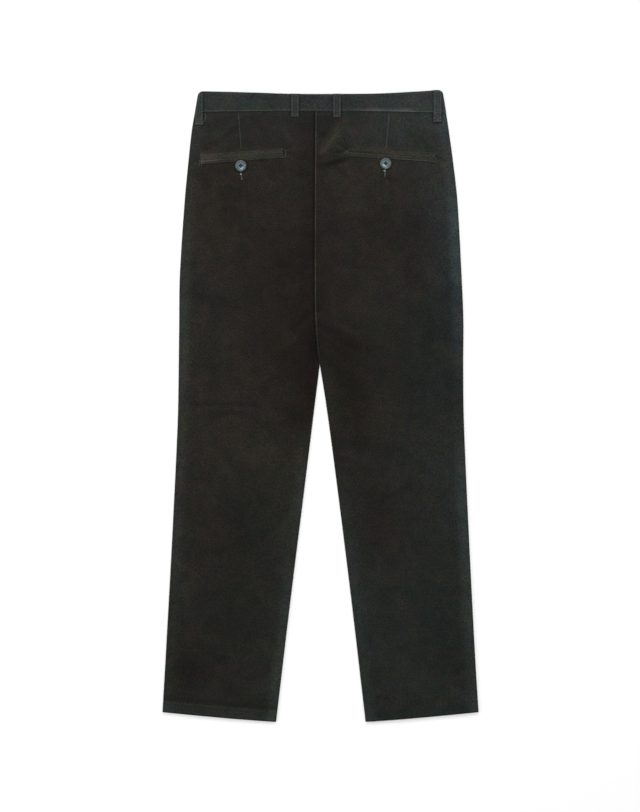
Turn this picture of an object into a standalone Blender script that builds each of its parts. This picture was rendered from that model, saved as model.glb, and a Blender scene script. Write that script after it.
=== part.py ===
"""Velvet trousers, laid flat with the back up.

The waist points to +Y, the wearer's left leg lies at -X, and +Z points away from the surface that
the trousers lie on. Sizes and tables are in millimetres; place() turns them into metres. "across"
is measured from the middle of the trousers towards +X, "up" from the lowest point of the hems
towards +Y, and "height" from the surface towards +Z.

The two front panels are the lower layer, flat on the surface. The two back panels lie on them and
roll down over the sides and the inside legs to meet them. The waistband is made the same way.
"""

import math
from collections import namedtuple

import bmesh
import bpy
from mathutils import Vector

MM = 0.001

# Cloth
VELVET = 1.5  # wall of one layer
SEAM_GAP = 0.3  # between two pieces that are sewn together
BAND_WALL = 2.4  # outer band, interlining and inner band of the back waistband
BAND_FRONT_WALL = 2.2
TAPE = 1.1  # pressed velvet of the pocket lips
LOOP_WALL = 1.4

# Length and the places where the shape changes
TOP = 1074.4  # highest point of the waistband
PARTING = 608.0  # here the legs part
FORK = 690.0  # here the seat seam ends and the inside legs touch
SEAM_LEVEL = 1036.0  # about where the waistband is sewn on
HEM_DEPTH = 17.5
HEM_RISE = 0.5  # the turned-up hem lifts the cloth
HEM_TILT = 16.5  # the hem runs lower at the inside leg
HEM_CURVE = 1.16
FRONT_DIP = 14.0  # the front waist is cut lower than the back

# Height of the upper layer
EDGE_HEIGHT = 4.6
CAMBER = 1.6
CAMBER_REACH = 60.0
SEAM_REACH = 3.5  # how far the pressed seat seam lifts or sinks the cloth
SEAM_LIP = {"left": -0.6, "right": 0.5}
BAND_EDGE_HEIGHT = 5.6
BAND_CAMBER = 1.0
UNDERCUT = 0.9  # the lower layer's underside turns up at its free edges
BAND_CORNER = 7.0

# Small pieces
LOOP_WIDTH = 13.5
LOOP_STEP = 2.0  # below the waist seam, where a loop steps down from the band to the panel
BUTTON_RADIUS = 9.7
HOLE_RADIUS = 1.0
HOLE_CIRCLE = 2.4
LIP_OPENING = 0.5
DART_HALF_WIDTH = 3.0
DART_HEIGHT = 0.45
ZIP_WALL = 0.6
SHIELD_WALL = 1.0

# Mesh steps
ROLL_STEPS = 4
SIDE_COLUMNS = 4  # from a panel's side to its dart
SEAT_COLUMNS = 8  # from its dart to its inside
FRONT_COLUMNS = 6
BAND_COLUMNS = 16
WELT_COLUMNS = 9
ROUND_STEPS = 28
HOLE_STEPS = 12

TOWARDS = {"left": 1.0, "right": -1.0}  # from a leg's side seam to its inside

Sides = namedtuple("Sides", "up left right")
SIDES = [
    Sides(0.0, -269.9, 269.8),
    Sides(104.6, -263.8, 263.2),
    Sides(308.6, -252.6, 252.6),
    Sides(512.6, -242.9, 243.6),
    Sides(607.8, -241.2, 242.5),
    Sides(682.0, -240.4, 242.8),
    Sides(757.4, -239.4, 239.8),
    Sides(887.0, -231.0, 232.6),
    Sides(955.0, -224.6, 225.1),
    Sides(1006.0, -219.0, 218.1),
    Sides(1039.6, -213.3, 213.0),
    Sides(1074.4, -207.4, 207.4),
]
INSIDE_LEGS = [
    Sides(0.0, -75.7, 76.5),
    Sides(206.6, -51.2, 52.4),
    Sides(410.6, -25.8, 26.9),
    Sides(538.0, -10.1, 9.8),
    Sides(589.0, -3.7, 1.8),
    Sides(608.0, -1.5, -1.2),
]

Seam = namedtuple("Seam", "up across")
SEAT_SEAM = [
    Seam(608.0, -1.35),
    Seam(628.0, -4.9),
    Seam(648.6, -6.8),
    Seam(669.0, -8.3),
    Seam(690.0, -9.6),
    Seam(757.0, -10.3),
    Seam(900.0, -10.0),
    Seam(1040.0, -9.2),
]

Waist = namedtuple("Waist", "across seam top")
WAIST = [
    Waist(-215.0, 1036.2, 1072.2),
    Waist(-155.0, 1037.0, 1070.8),
    Waist(-100.0, 1037.8, 1069.2),
    Waist(-46.0, 1038.2, 1067.4),
    Waist(76.0, 1037.8, 1067.6),
    Waist(117.0, 1037.0, 1068.8),
    Waist(171.0, 1035.8, 1071.9),
    Waist(215.0, 1035.0, 1074.7),
]

# Soft ridges (+) and troughs (-) of the seat and legs
Fold = namedtuple("Fold", "from_across from_up to_across to_up width height")
FOLDS = [
    Fold(36.0, 1022.0, -2.0, 962.0, 22.0, 0.7),
    Fold(58.0, 1018.0, 40.0, 985.0, 22.0, -0.6),
    Fold(0.0, 940.0, 60.0, 925.0, 24.0, -0.5),
    Fold(96.0, 925.0, 72.0, 860.0, 26.0, 0.5),
    Fold(-120.0, 915.0, -88.0, 850.0, 26.0, 0.5),
    Fold(-226.0, 880.0, -196.0, 770.0, 30.0, 0.5),
    Fold(224.0, 830.0, 205.0, 700.0, 30.0, 0.4),
    Fold(-215.0, 535.0, -110.0, 533.0, 24.0, 0.4),
    Fold(-60.0, 560.0, -120.0, 470.0, 30.0, -0.4),
    Fold(60.0, 540.0, 140.0, 455.0, 30.0, 0.4),
    Fold(-232.0, 300.0, -215.0, 90.0, 26.0, 0.5),
    Fold(228.0, 260.0, 244.0, 60.0, 26.0, 0.4),
]

Dart = namedtuple("Dart", "top_across point_across point_up")
DARTS = {
    "left": Dart(-139.8, -135.0, 974.0),
    "right": Dart(116.2, 111.4, 974.0),
}

Pocket = namedtuple(
    "Pocket", "leg side side_low side_lip side_top inside inside_low inside_lip inside_top"
)
POCKETS = [
    Pocket("left", -204.0, 947.6, 953.8, 964.6, -64.0, 959.0, 966.0, 974.8),
    Pocket("right", 193.6, 951.7, 958.8, 967.9, 45.2, 961.4, 969.0, 974.0),
]

Button = namedtuple("Button", "leg across up")
BUTTONS = [
    Button("left", -135.4, 945.1),
    Button("right", 110.5, 949.0),
]

Loop = namedtuple("Loop", "name leg across bottom below_top")
LOOPS = [
    Loop("loop_side_left", "left", -206.7, 1014.5, 2.2),
    Loop("loop_centre_left", "left", -43.5, 1028.3, 0.0),
    Loop("loop_centre_right", "right", 27.9, 1027.5, 0.0),
    Loop("loop_side_right", "right", 198.6, 1019.5, 0.0),
]
LOOP_CLEAR = 1.6  # a side loop stays this far inside the band's end

# Fly, behind the front edges
FLY_BOTTOM = 872.0
FLY_TOP = 1018.0
ZIP_HALF_WIDTH = 13.0
SHIELD_HALF_WIDTH = 21.0


# ---------------------------------------------------------------- curves through the tables


def read_table(table, column, at):
    """A smooth curve through one column of a table, read at a value of its first column."""
    rows = [(row[0], getattr(row, column)) for row in table]
    at = min(max(at, rows[0][0]), rows[-1][0])
    slopes = []
    for index in range(len(rows)):
        before = rows[max(index - 1, 0)]
        after = rows[min(index + 1, len(rows) - 1)]
        slopes.append((after[1] - before[1]) / (after[0] - before[0]))
    for index in range(len(rows) - 1):
        (start, low), (end, high) = rows[index], rows[index + 1]
        if at <= end:
            step = end - start
            t = (at - start) / step
            return (
                low * (2 * t**3 - 3 * t**2 + 1)
                + slopes[index] * step * (t**3 - 2 * t**2 + t)
                + high * (3 * t**2 - 2 * t**3)
                + slopes[index + 1] * step * (t**3 - t**2)
            )
    return rows[-1][1]


def smooth_step(low, high, value):
    share = min(max((value - low) / (high - low), 0.0), 1.0)
    return share * share * (3.0 - 2.0 * share)


def open_leg(up):
    """1 where the legs are parted, 0 above the fork."""
    return 1.0 - smooth_step(PARTING, FORK, up)


def panel_edges(leg, up):
    """Where a leg's panel ends at its side and at its inside, or at the seat seam."""
    side = read_table(SIDES, leg, up)
    if up < PARTING:
        return side, read_table(INSIDE_LEGS, leg, up)
    seam = read_table(SEAT_SEAM, "across", up)
    return side, seam - TOWARDS[leg] * SEAM_GAP / 2


def hem_lift(share):
    """How far the hem lies above its lowest point, from the side (0) to the inside leg (1)."""
    return HEM_TILT * (1.0 - share) ** HEM_CURVE + 0.4


def distance_to_fold(fold, across, up):
    run = fold.to_across - fold.from_across
    rise = fold.to_up - fold.from_up
    along = (across - fold.from_across) * run + (up - fold.from_up) * rise
    share = min(max(along / (run * run + rise * rise), 0.0), 1.0)
    return math.hypot(
        across - fold.from_across - run * share, up - fold.from_up - rise * share
    )


def fold_height(across, up):
    total = 0.0
    for fold in FOLDS:
        reach = distance_to_fold(fold, across, up) / fold.width
        total += fold.height * math.exp(-reach * reach)
    return total


def dart_across(leg, up):
    """Where a leg's dart runs, and below its point a line that keeps its share of the panel."""
    dart = DARTS[leg]
    if up >= dart.point_up:
        share = (up - dart.point_up) / (SEAM_LEVEL - dart.point_up)
        return dart.point_across + (dart.top_across - dart.point_across) * share
    point_side, point_inside = panel_edges(leg, dart.point_up)
    share = (dart.point_across - point_side) / (point_inside - point_side)
    side, inside = panel_edges(leg, up)
    return side + (inside - side) * share


def dart_height(leg, across, up):
    """The stitched ridge of a dart, which runs out at its point."""
    reach = (across - dart_across(leg, up)) / (DART_HALF_WIDTH * 0.8)
    fade = smooth_step(DARTS[leg].point_up - 6.0, DARTS[leg].point_up + 20.0, up)
    return DART_HEIGHT * fade * math.exp(-reach * reach)


def hem_share(leg, across, up):
    side, inside = panel_edges(leg, up)
    return min(max((across - side) / (inside - side), 0.0), 1.0)


def cloth_height(leg, across, up):
    """Height of the upper layer's outer face."""
    side, inside = panel_edges(leg, up)
    from_side = abs(across - side)
    from_inside = abs(across - inside)
    opened = open_leg(up)
    near_side = math.exp(-from_side / CAMBER_REACH)
    near_inside = opened * math.exp(-from_inside / CAMBER_REACH)
    height = EDGE_HEIGHT + CAMBER * (1.0 - near_side) * (1.0 - near_inside)
    height += fold_height(across, up) * (1.0 - near_side) * (1.0 - near_inside)
    height += (1.0 - opened) * SEAM_LIP[leg] * math.exp(-from_inside / SEAM_REACH)
    height += dart_height(leg, across, up)
    hem_line = hem_lift(hem_share(leg, across, up)) + HEM_DEPTH
    return height + HEM_RISE * (1.0 - smooth_step(hem_line - 1.0, hem_line, up))


def band_edge(leg, up, top):
    """The waistband's end, with its rounded upper corner."""
    edge = read_table(SIDES, leg, up)
    into_corner = max(up - (top - BAND_CORNER), 0.0)
    inset = BAND_CORNER - math.sqrt(max(BAND_CORNER**2 - into_corner**2, 0.0))
    return edge + TOWARDS[leg] * inset


def band_height(across):
    from_side = 212.0 - abs(across)
    return BAND_EDGE_HEIGHT + BAND_CAMBER * (1.0 - math.exp(-from_side / CAMBER_REACH))


def front_dip(across, up):
    """The front of the waist is cut lower towards its middle."""
    nearness = 0.5 + 0.5 * math.cos(math.pi * min(abs(across) / 210.0, 1.0))
    return FRONT_DIP * nearness * smooth_step(FORK, SEAM_LEVEL, up)


# ---------------------------------------------------------------- making solids


def place(across, up, height):
    return Vector((across * MM, (up - TOP / 2) * MM, height * MM))


def new_object(name, material, vertices, faces):
    mesh = bpy.data.meshes.new(name)
    mesh.from_pydata(vertices, [], faces)
    mesh.materials.append(material)
    shell = bmesh.new()
    shell.from_mesh(mesh)
    bmesh.ops.recalc_face_normals(shell, faces=shell.faces)
    shell.to_mesh(mesh)
    shell.free()
    piece = bpy.data.objects.new(name, mesh)
    bpy.context.scene.collection.objects.link(piece)
    piece.parent = bpy.data.objects["trousers"]
    return piece


def closed_sheet(name, material, outer_rows, inner_rows):
    """A wall between two grids of points, closed all round its rim."""
    rows = len(outer_rows)
    columns = len(outer_rows[0])
    vertices = [place(*point) for row in outer_rows + inner_rows for point in row]

    def outer(row, column):
        return row * columns + column

    def inner(row, column):
        return (rows + row) * columns + column

    faces = []
    for row in range(rows - 1):
        for column in range(columns - 1):
            corners = [
                (row, column), (row, column + 1), (row + 1, column + 1), (row + 1, column)
            ]
            faces.append([outer(*corner) for corner in corners])
            faces.append([inner(*corner) for corner in reversed(corners)])
    rim = [(0, column) for column in range(columns)]
    rim += [(row, columns - 1) for row in range(1, rows)]
    rim += [(rows - 1, column) for column in range(columns - 2, -1, -1)]
    rim += [(row, 0) for row in range(rows - 2, 0, -1)]
    for here, there in zip(rim, rim[1:] + rim[:1]):
        faces.append([outer(*there), outer(*here), inner(*here), inner(*there)])
    piece = new_object(name, material, vertices, faces)
    piece.data.shade_smooth()
    piece.data.set_sharp_from_angle(angle=math.radians(40))
    return piece


def roll_profile(height, lip, wall, turned):
    """Cloth that turns down over an edge, as (inset, height) of its outer and inner face.

    The first pair is at the edge. turned is 1 for a quarter turn and 0 for flat cloth.
    """
    radius = height - lip
    reach = radius * math.pi / 2
    flat = reach * (1.0 - turned)
    span = flat + radius * math.sin(turned * math.pi / 2)
    pairs = []
    for step in range(ROLL_STEPS + 1):
        along = reach * (1.0 - step / ROLL_STEPS)
        turn = max(along - flat, 0.0) / radius
        inset = span - min(along, flat) - radius * math.sin(turn)
        outer_height = height - radius * (1.0 - math.cos(turn))
        outer = (inset, outer_height)
        inner = (inset + wall * math.sin(turn), outer_height - wall * math.cos(turn))
        pairs.append((outer, inner))
    return pairs


def even_steps(start, end, count):
    """The places of count columns, evenly between two ends that have their own."""
    return [start + (end - start) * step / (count + 1) for step in range(1, count + 1)]


def row_of_points(side, inside, side_pairs, inside_pairs, columns, heights):
    """One cross-section, from the side edge over the flat cloth to the inside edge.

    columns(start, end) gives the places between the two rolls, and heights(across) the heights
    of the outer and the inner face there.
    """
    towards = 1.0 if inside > side else -1.0
    outer = [(side + towards * out[0], out[1]) for out, _ in side_pairs]
    inner = [(side + towards * into[0], into[1]) for _, into in side_pairs]
    for across in columns(outer[-1][0], inside - towards * inside_pairs[-1][0][0]):
        top, bottom = heights(across)
        outer.append((across, top))
        inner.append((across, bottom))
    for out, into in reversed(inside_pairs):
        outer.append((inside - towards * out[0], out[1]))
        inner.append((inside - towards * into[0], into[1]))
    return outer, inner


# ---------------------------------------------------------------- panels


def panel_stations():
    """Levels of a back panel's rows: close at the hem, the fork and the seat."""
    stations = [0.0, HEM_DEPTH / 2, HEM_DEPTH - 1.0, HEM_DEPTH]
    thigh = PARTING - 30.0
    seat = FORK + 10.0
    for start, end, count in ((HEM_DEPTH, thigh, 20), (thigh, seat, 7), (seat, SEAM_LEVEL, 21)):
        stations += [start + (end - start) * step / count for step in range(1, count + 1)]
    return stations


def row_level(station, share):
    """A row follows the tilted hem at the bottom and runs level higher up."""
    return station + hem_lift(share) * (1.0 - station / SEAM_LEVEL) ** 3


def trim_to_seam(across, up, gap):
    """The last rows of a panel end just below the waistband."""
    seam = read_table(WAIST, "seam", across) - gap
    return up + (seam - SEAM_LEVEL) * smooth_step(FORK, SEAM_LEVEL, up)


def back_row(leg, station):
    """One row of a back panel: its outer points and its inner points."""
    towards = TOWARDS[leg]
    lip = VELVET + SEAM_GAP
    wall = VELVET + (HEM_RISE if station < HEM_DEPTH else 0.0)
    shoulder = EDGE_HEIGHT - lip
    middle = row_level(station, 0.5)
    side, inside = panel_edges(leg, middle)

    def settle(across):
        """The row's tilt: where a place of its middle level really lies."""
        share = min(max((across - side) / (inside - side), 0.0), 1.0)
        up = row_level(station, share)
        true_side, true_inside = panel_edges(leg, up)
        across += (true_side - side) * (1.0 - share) + (true_inside - inside) * share
        return across, up

    def columns(start, end):
        dart = dart_across(leg, middle)
        beside = towards * DART_HALF_WIDTH
        return (
            even_steps(start, dart - beside, SIDE_COLUMNS)
            + [dart - beside, dart, dart + beside]
            + even_steps(dart + beside, end, SEAT_COLUMNS)
        )

    def heights(across):
        top = cloth_height(leg, *settle(across))
        return top, top - wall

    side_top, _ = heights(side + towards * shoulder)
    inside_top, _ = heights(inside - towards * shoulder / 2)
    side_pairs = roll_profile(side_top, lip, wall, 1.0)
    inside_pairs = roll_profile(inside_top, lip, wall, open_leg(row_level(station, 1.0)))
    rows = row_of_points(side, inside, side_pairs, inside_pairs, columns, heights)
    settled = []
    for points in rows:
        row = []
        for across, height in points:
            true_across, up = settle(across)
            row.append((true_across, trim_to_seam(true_across, up, SEAM_GAP), height))
        settled.append(row)
    return settled


def back_panel(leg, material):
    rows = [back_row(leg, station) for station in panel_stations()]
    outer_rows = [outer for outer, _ in rows]
    inner_rows = [inner for _, inner in rows]
    return closed_sheet(f"back_{leg}", material, outer_rows, inner_rows)


def front_panel(leg, material):
    stations = [0.0] + panel_stations()[3:-1:2] + [SEAM_LEVEL]
    top_rows = []
    floor_rows = []
    for station in stations:
        top_row = []
        floor_row = []
        for column in range(FRONT_COLUMNS + 1):
            share = column / FRONT_COLUMNS
            up = row_level(station, share)
            side, inside = panel_edges(leg, up)
            across = side + (inside - side) * share
            level = trim_to_seam(across, up, SEAM_GAP) - front_dip(across, up)
            top_row.append((across, level, VELVET))
            inset = 0.0
            if column == 0:
                inset = UNDERCUT
            elif column == FRONT_COLUMNS:
                inset = -UNDERCUT * open_leg(up)
            rise = UNDERCUT if station == 0.0 else 0.0
            floor_row.append((across + TOWARDS[leg] * inset, level + rise, 0.0))
        top_rows.append(top_row)
        floor_rows.append(floor_row)
    return closed_sheet(f"front_{leg}", material, top_rows, floor_rows)


# ---------------------------------------------------------------- waistband and belt loops


def band_levels(across, corner_rows=(BAND_CORNER, 4.6, 2.4, 0.9, 0.0)):
    """Levels of the band's rows at one place, from its seam to its upper edge."""
    seam = read_table(WAIST, "seam", across)
    top = read_table(WAIST, "top", across)
    body = [seam + (top - BAND_CORNER - seam) * step / 3 for step in range(3)]
    return body + [top - below for below in corner_rows]


def rounded_edge(row, rows, wall):
    """How far the outer and the inner face draw together at the band's upper edge."""
    drop = {rows - 1: 0.36, rows - 2: 0.12}.get(row, 0.0)
    return drop * wall, drop * wall * 0.7


def waistband_back(material):
    rows = len(band_levels(0.0))
    outer_rows = []
    inner_rows = []
    lip = BAND_FRONT_WALL + SEAM_GAP

    def columns(start, end):
        return even_steps(start, end, BAND_COLUMNS)

    for row in range(rows):
        left = band_edge("left", band_levels(-212.0)[row], band_levels(-212.0)[-1])
        right = band_edge("right", band_levels(212.0)[row], band_levels(212.0)[-1])
        outer_drop, inner_rise = rounded_edge(row, rows, BAND_WALL)

        def heights(across, outer_drop=outer_drop, inner_rise=inner_rise):
            top = band_height(across)
            return top - outer_drop, top - BAND_WALL + inner_rise

        pairs = roll_profile(BAND_EDGE_HEIGHT, lip, BAND_WALL, 1.0)
        outer, inner = row_of_points(left, right, pairs, pairs, columns, heights)
        outer_rows.append([(x, band_levels(x)[row], z) for x, z in outer])
        inner_rows.append(
            [(x, band_levels(a)[row], z) for (a, _), (x, z) in zip(outer, inner)]
        )
    return closed_sheet("waistband_back", material, outer_rows, inner_rows)


def waistband_front(leg, material):
    rows = len(band_levels(0.0))
    top_rows = []
    floor_rows = []
    at_side = -212.0 * TOWARDS[leg]
    for row in range(rows):
        side = band_edge(leg, band_levels(at_side)[row], band_levels(at_side)[-1])
        inside = panel_edges(leg, SEAM_LEVEL)[1]
        top_drop, floor_rise = rounded_edge(row, rows, BAND_FRONT_WALL)
        top_row = []
        floor_row = []
        for column in range(FRONT_COLUMNS + 1):
            across = side + (inside - side) * column / FRONT_COLUMNS
            level = band_levels(across)[row] - front_dip(across, SEAM_LEVEL)
            inset = UNDERCUT * TOWARDS[leg] if column == 0 else 0.0
            top_row.append((across, level, BAND_FRONT_WALL - top_drop))
            below = UNDERCUT if row == rows - 1 else 0.0
            floor_row.append((across + inset, level - below, 0.0))
        top_rows.append(top_row)
        floor_rows.append(floor_row)
    return closed_sheet(f"waistband_front_{leg}", material, top_rows, floor_rows)


def band_end(leg, up):
    """The side end of the band or, lower down, of the panel."""
    return band_edge(leg, up, band_levels(-212.0 * TOWARDS[leg])[-1])


def carrier_height(leg, across, up):
    """Height of whatever lies under a belt loop: the band, or the panel below its seam."""
    seam = read_table(WAIST, "seam", across)
    from_edge = max((across - band_end(leg, up)) * TOWARDS[leg], 0.0)
    if up > seam - LOOP_STEP:
        top, lip = band_height(across), BAND_FRONT_WALL + SEAM_GAP
    else:
        top, lip = cloth_height(leg, across, up), VELVET + SEAM_GAP
    radius = top - lip
    into_roll = max(radius - from_edge, 0.0)
    return top - radius + math.sqrt(max(radius**2 - into_roll**2, 0.0))


def belt_loop(loop, material):
    seam = read_table(WAIST, "seam", loop.across)
    top = read_table(WAIST, "top", loop.across) - loop.below_top
    levels = [loop.bottom, (loop.bottom + seam - 4.0) / 2, seam - 4.0, seam - 0.5]
    levels += [seam + (top - seam) * share for share in (0.3, 0.6, 0.8, 0.9, 0.96, 1.0)]
    outer_rows = []
    inner_rows = []
    towards = TOWARDS[loop.leg]
    inside = loop.across + towards * LOOP_WIDTH / 2
    for level in levels:
        outside = loop.across - towards * LOOP_WIDTH / 2
        limit = band_end(loop.leg, level) + towards * LOOP_CLEAR
        if (outside - limit) * towards < 0.0:
            outside = limit
        outer_row = []
        inner_row = []
        for share, crown in ((0.0, -0.2), (0.2, 0.0), (0.5, 0.1), (0.8, 0.0), (1.0, -0.2)):
            across = outside + (inside - outside) * share
            under = carrier_height(loop.leg, across, level) + SEAM_GAP
            outer_row.append((across, level, under + LOOP_WALL + crown))
            inner_row.append((across, level, under))
        outer_rows.append(outer_row)
        inner_rows.append(inner_row)
    return closed_sheet(loop.name, material, outer_rows, inner_rows)


# ---------------------------------------------------------------- pockets, buttons and fly


def welt(pocket, name, low, high, material):
    """One lip of a back pocket. low and high are its edges at the side and at the inside."""
    outer_rows = []
    inner_rows = []
    for share, crown in ((0.0, -0.25), (0.25, 0.0), (0.75, 0.0), (1.0, -0.25)):
        outer_row = []
        inner_row = []
        for column in range(WELT_COLUMNS + 1):
            along = column / WELT_COLUMNS
            across = pocket.side + (pocket.inside - pocket.side) * along
            bottom = low[0] + (low[1] - low[0]) * along
            top = high[0] + (high[1] - high[0]) * along
            up = bottom + (top - bottom) * share
            under = cloth_height(pocket.leg, across, up) + SEAM_GAP
            outer_row.append((across, up, under + TAPE + crown))
            inner_row.append((across, up, under))
        outer_rows.append(outer_row)
        inner_rows.append(inner_row)
    return closed_sheet(name, material, outer_rows, inner_rows)


def pocket_lips(pocket, material):
    lip = (pocket.side_lip, pocket.inside_lip)
    below = tuple(level - LIP_OPENING / 2 for level in lip)
    above = tuple(level + LIP_OPENING / 2 for level in lip)
    name = f"pocket_{pocket.leg}"
    low = (pocket.side_low, pocket.inside_low)
    top = (pocket.side_top, pocket.inside_top)
    welt(pocket, f"{name}_lower_welt", low, below, material)
    welt(pocket, f"{name}_upper_welt", above, top, material)


def button_blank(name, material):
    """A turned button with a raised rim, a groove and a flat middle."""
    r = BUTTON_RADIUS
    profile = [
        (0.0, 0.0), (r - 1.5, 0.0), (r - 0.3, 0.7), (r, 1.5), (r - 0.4, 2.3), (r - 1.3, 2.6),
        (r - 2.3, 2.3), (r - 3.2, 1.8), (r - 4.2, 2.0), (0.0, 2.0),
    ]
    shape = bmesh.new()
    points = [shape.verts.new((radius * MM, 0.0, height * MM)) for radius, height in profile]
    edges = [shape.edges.new(pair) for pair in zip(points, points[1:])]
    bmesh.ops.spin(
        shape, geom=points + edges, axis=(0, 0, 1), cent=(0, 0, 0),
        steps=ROUND_STEPS, angle=2 * math.pi, use_merge=True,
    )
    bmesh.ops.remove_doubles(shape, verts=shape.verts, dist=1e-6)
    bmesh.ops.recalc_face_normals(shape, faces=shape.faces)
    mesh = bpy.data.meshes.new(name)
    shape.to_mesh(mesh)
    shape.free()
    mesh.materials.append(material)
    mesh.shade_smooth()
    mesh.set_sharp_from_angle(angle=math.radians(35))
    return mesh


def thread_holes():
    """The cutter of a button's four holes."""
    shape = bmesh.new()
    for quarter in range(4):
        angle = quarter * math.pi / 2
        made = bmesh.ops.create_cone(
            shape, cap_ends=True, segments=HOLE_STEPS,
            radius1=HOLE_RADIUS * MM, radius2=HOLE_RADIUS * MM, depth=8.0 * MM,
        )
        move = Vector((math.cos(angle), math.sin(angle), 0.0)) * HOLE_CIRCLE * MM
        bmesh.ops.translate(shape, verts=made["verts"], vec=move)
    mesh = bpy.data.meshes.new("thread_holes")
    shape.to_mesh(mesh)
    shape.free()
    return mesh


def pocket_button(button, blank, holes):
    """A button on its thread, just clear of the pocket lip that its upper edge covers."""
    name = f"button_{button.leg}"
    under = cloth_height(button.leg, button.across, button.up)
    seat = under + SEAM_GAP + TAPE + SEAM_GAP
    cutter = bpy.data.objects.new(f"{name}_holes", holes)
    cutter.hide_render = True
    cutter.display_type = "WIRE"
    piece = bpy.data.objects.new(name, blank)
    for thing in (piece, cutter):
        bpy.context.scene.collection.objects.link(thing)
        thing.parent = bpy.data.objects["trousers"]
        thing.location = place(button.across, button.up, seat)
    drilled = piece.modifiers.new("holes", "BOOLEAN")
    drilled.operation = "DIFFERENCE"
    drilled.object = cutter
    return piece


def fly_strip(name, half_width, floor, wall, material):
    outer_rows = []
    inner_rows = []
    for level in (FLY_BOTTOM, (FLY_BOTTOM + FLY_TOP) / 2, FLY_TOP):
        seam = read_table(SEAT_SEAM, "across", level)
        ends = (seam - half_width, seam + half_width)
        outer_rows.append([(across, level, floor + wall) for across in ends])
        inner_rows.append([(across, level, floor) for across in ends])
    return closed_sheet(name, material, outer_rows, inner_rows)


# ---------------------------------------------------------------- the whole


def new_material(name, colour, roughness, metallic=0.0, sheen=0.0):
    material = bpy.data.materials.new(name)
    material.use_nodes = True
    shader = material.node_tree.nodes["Principled BSDF"]
    shader.inputs["Base Color"].default_value = (*colour, 1.0)
    shader.inputs["Roughness"].default_value = roughness
    shader.inputs["Metallic"].default_value = metallic
    shader.inputs["Sheen Weight"].default_value = sheen
    material.diffuse_color = (*colour, 1.0)
    return material


def main():
    for thing in list(bpy.data.objects):
        bpy.data.objects.remove(thing, do_unlink=True)
    trousers = bpy.data.objects.new("trousers", None)
    bpy.context.scene.collection.objects.link(trousers)

    velvet = new_material("velvet", (0.020, 0.020, 0.015), 0.9, sheen=0.6)
    pressed_velvet = new_material("pressed_velvet", (0.030, 0.032, 0.026), 0.8, sheen=0.4)
    horn = new_material("horn", (0.13, 0.17, 0.19), 0.3)
    zip_tape = new_material("zip_tape", (0.012, 0.013, 0.012), 0.7)

    for leg in ("left", "right"):
        back_panel(leg, velvet)
        front_panel(leg, velvet)
        waistband_front(leg, pressed_velvet)
    waistband_back(pressed_velvet)
    for loop in LOOPS:
        belt_loop(loop, pressed_velvet)
    for pocket in POCKETS:
        pocket_lips(pocket, pressed_velvet)

    blank = button_blank("button", horn)
    holes = thread_holes()
    for button in BUTTONS:
        pocket_button(button, blank, holes)

    zip_floor = VELVET + SEAM_GAP
    fly_strip("fly_zip", ZIP_HALF_WIDTH, zip_floor, ZIP_WALL, zip_tape)
    shield_floor = zip_floor + ZIP_WALL + SEAM_GAP
    fly_strip("fly_shield", SHIELD_HALF_WIDTH, shield_floor, SHIELD_WALL, velvet)


main()
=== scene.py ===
"""Looks of the velvet trousers, laid flat with the back up.

Tables and sizes are in millimetres. "across" is measured from the middle of the trousers towards
+X, "up" from the lowest point of the hems towards +Y, and "height" from the floor towards +Z. The
wearer's left leg lies at -X. Each piece of cloth is a thin shell on its solid's form.
"""

import math
from collections import namedtuple

import bmesh
import bpy
import numpy as np
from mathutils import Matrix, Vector


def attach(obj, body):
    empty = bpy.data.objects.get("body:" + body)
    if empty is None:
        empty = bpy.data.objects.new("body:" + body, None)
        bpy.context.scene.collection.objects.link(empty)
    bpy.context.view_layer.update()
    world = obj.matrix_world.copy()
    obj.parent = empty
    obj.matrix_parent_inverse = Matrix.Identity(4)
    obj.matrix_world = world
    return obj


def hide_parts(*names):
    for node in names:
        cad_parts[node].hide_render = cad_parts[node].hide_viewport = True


MM = 0.001
LEGS = ("left", "right")
TOWARDS = {"left": 1.0, "right": -1.0}  # from a leg's side seam to its inside


def make_table(columns, rows):
    """A table with named columns, and a row for each place, form or finish."""
    row = namedtuple("Row", columns)
    return [row(*values) for values in rows]


def by_first(table):
    """The rows of a table, each under what its first column says."""
    return {row[0]: row for row in table}


def make_marks(*rows):
    """Soft marks beside a line: how far from it, how wide, and how high or how light."""
    return make_table("at reach amount", rows)


# ---------------------------------------------------------------- sizes of the solids

VELVET = 1.5
SEAM_GAP = 0.3
PANEL_LIP = VELVET + SEAM_GAP  # the lowest that an upper panel reaches
BAND_WALL = 2.4
BAND_FRONT_WALL = 2.2
BAND_LIP = BAND_FRONT_WALL + SEAM_GAP
TAPE = 1.1
LOOP_WALL = 1.4
TOP = 1074.4
PARTING = 608.0
FORK = 690.0
SEAM_LEVEL = 1036.0
HALF_WAIST = 212.0
HEM_DEPTH = 19.4
HEM_RISE = 0.5
HEM_TILT = 16.5
HEM_CURVE = 1.16
HEM_LOWEST = 0.4
FRONT_DIP = 14.0
DIP_REACH = 210.0
EDGE_HEIGHT = 4.6
CAMBER = 1.6
CAMBER_REACH = 60.0
SEAM_REACH = 3.5
SEAM_LIP = {"left": -0.6, "right": 0.5}
BAND_EDGE_HEIGHT = 5.6
BAND_CAMBER = 1.0
BAND_CORNER = 7.0
LOOP_WIDTH = 13.5
LOOP_STEP = (-3.5, -1.5)  # where a loop steps up on to the band, below the waist seam
LOOP_CLEAR = 1.6
OVER_BAND = 0.1
OFF_SEAM = 1.0
LOOP_CROWN = 0.16
LOOP_ROUND = 1.0
LOOP_UNEVEN = 0.10
LOOP_UNEVEN_LENGTH = 2.3
BUTTON_RADIUS = 9.7
LIP_OPENING = 0.5

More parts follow.
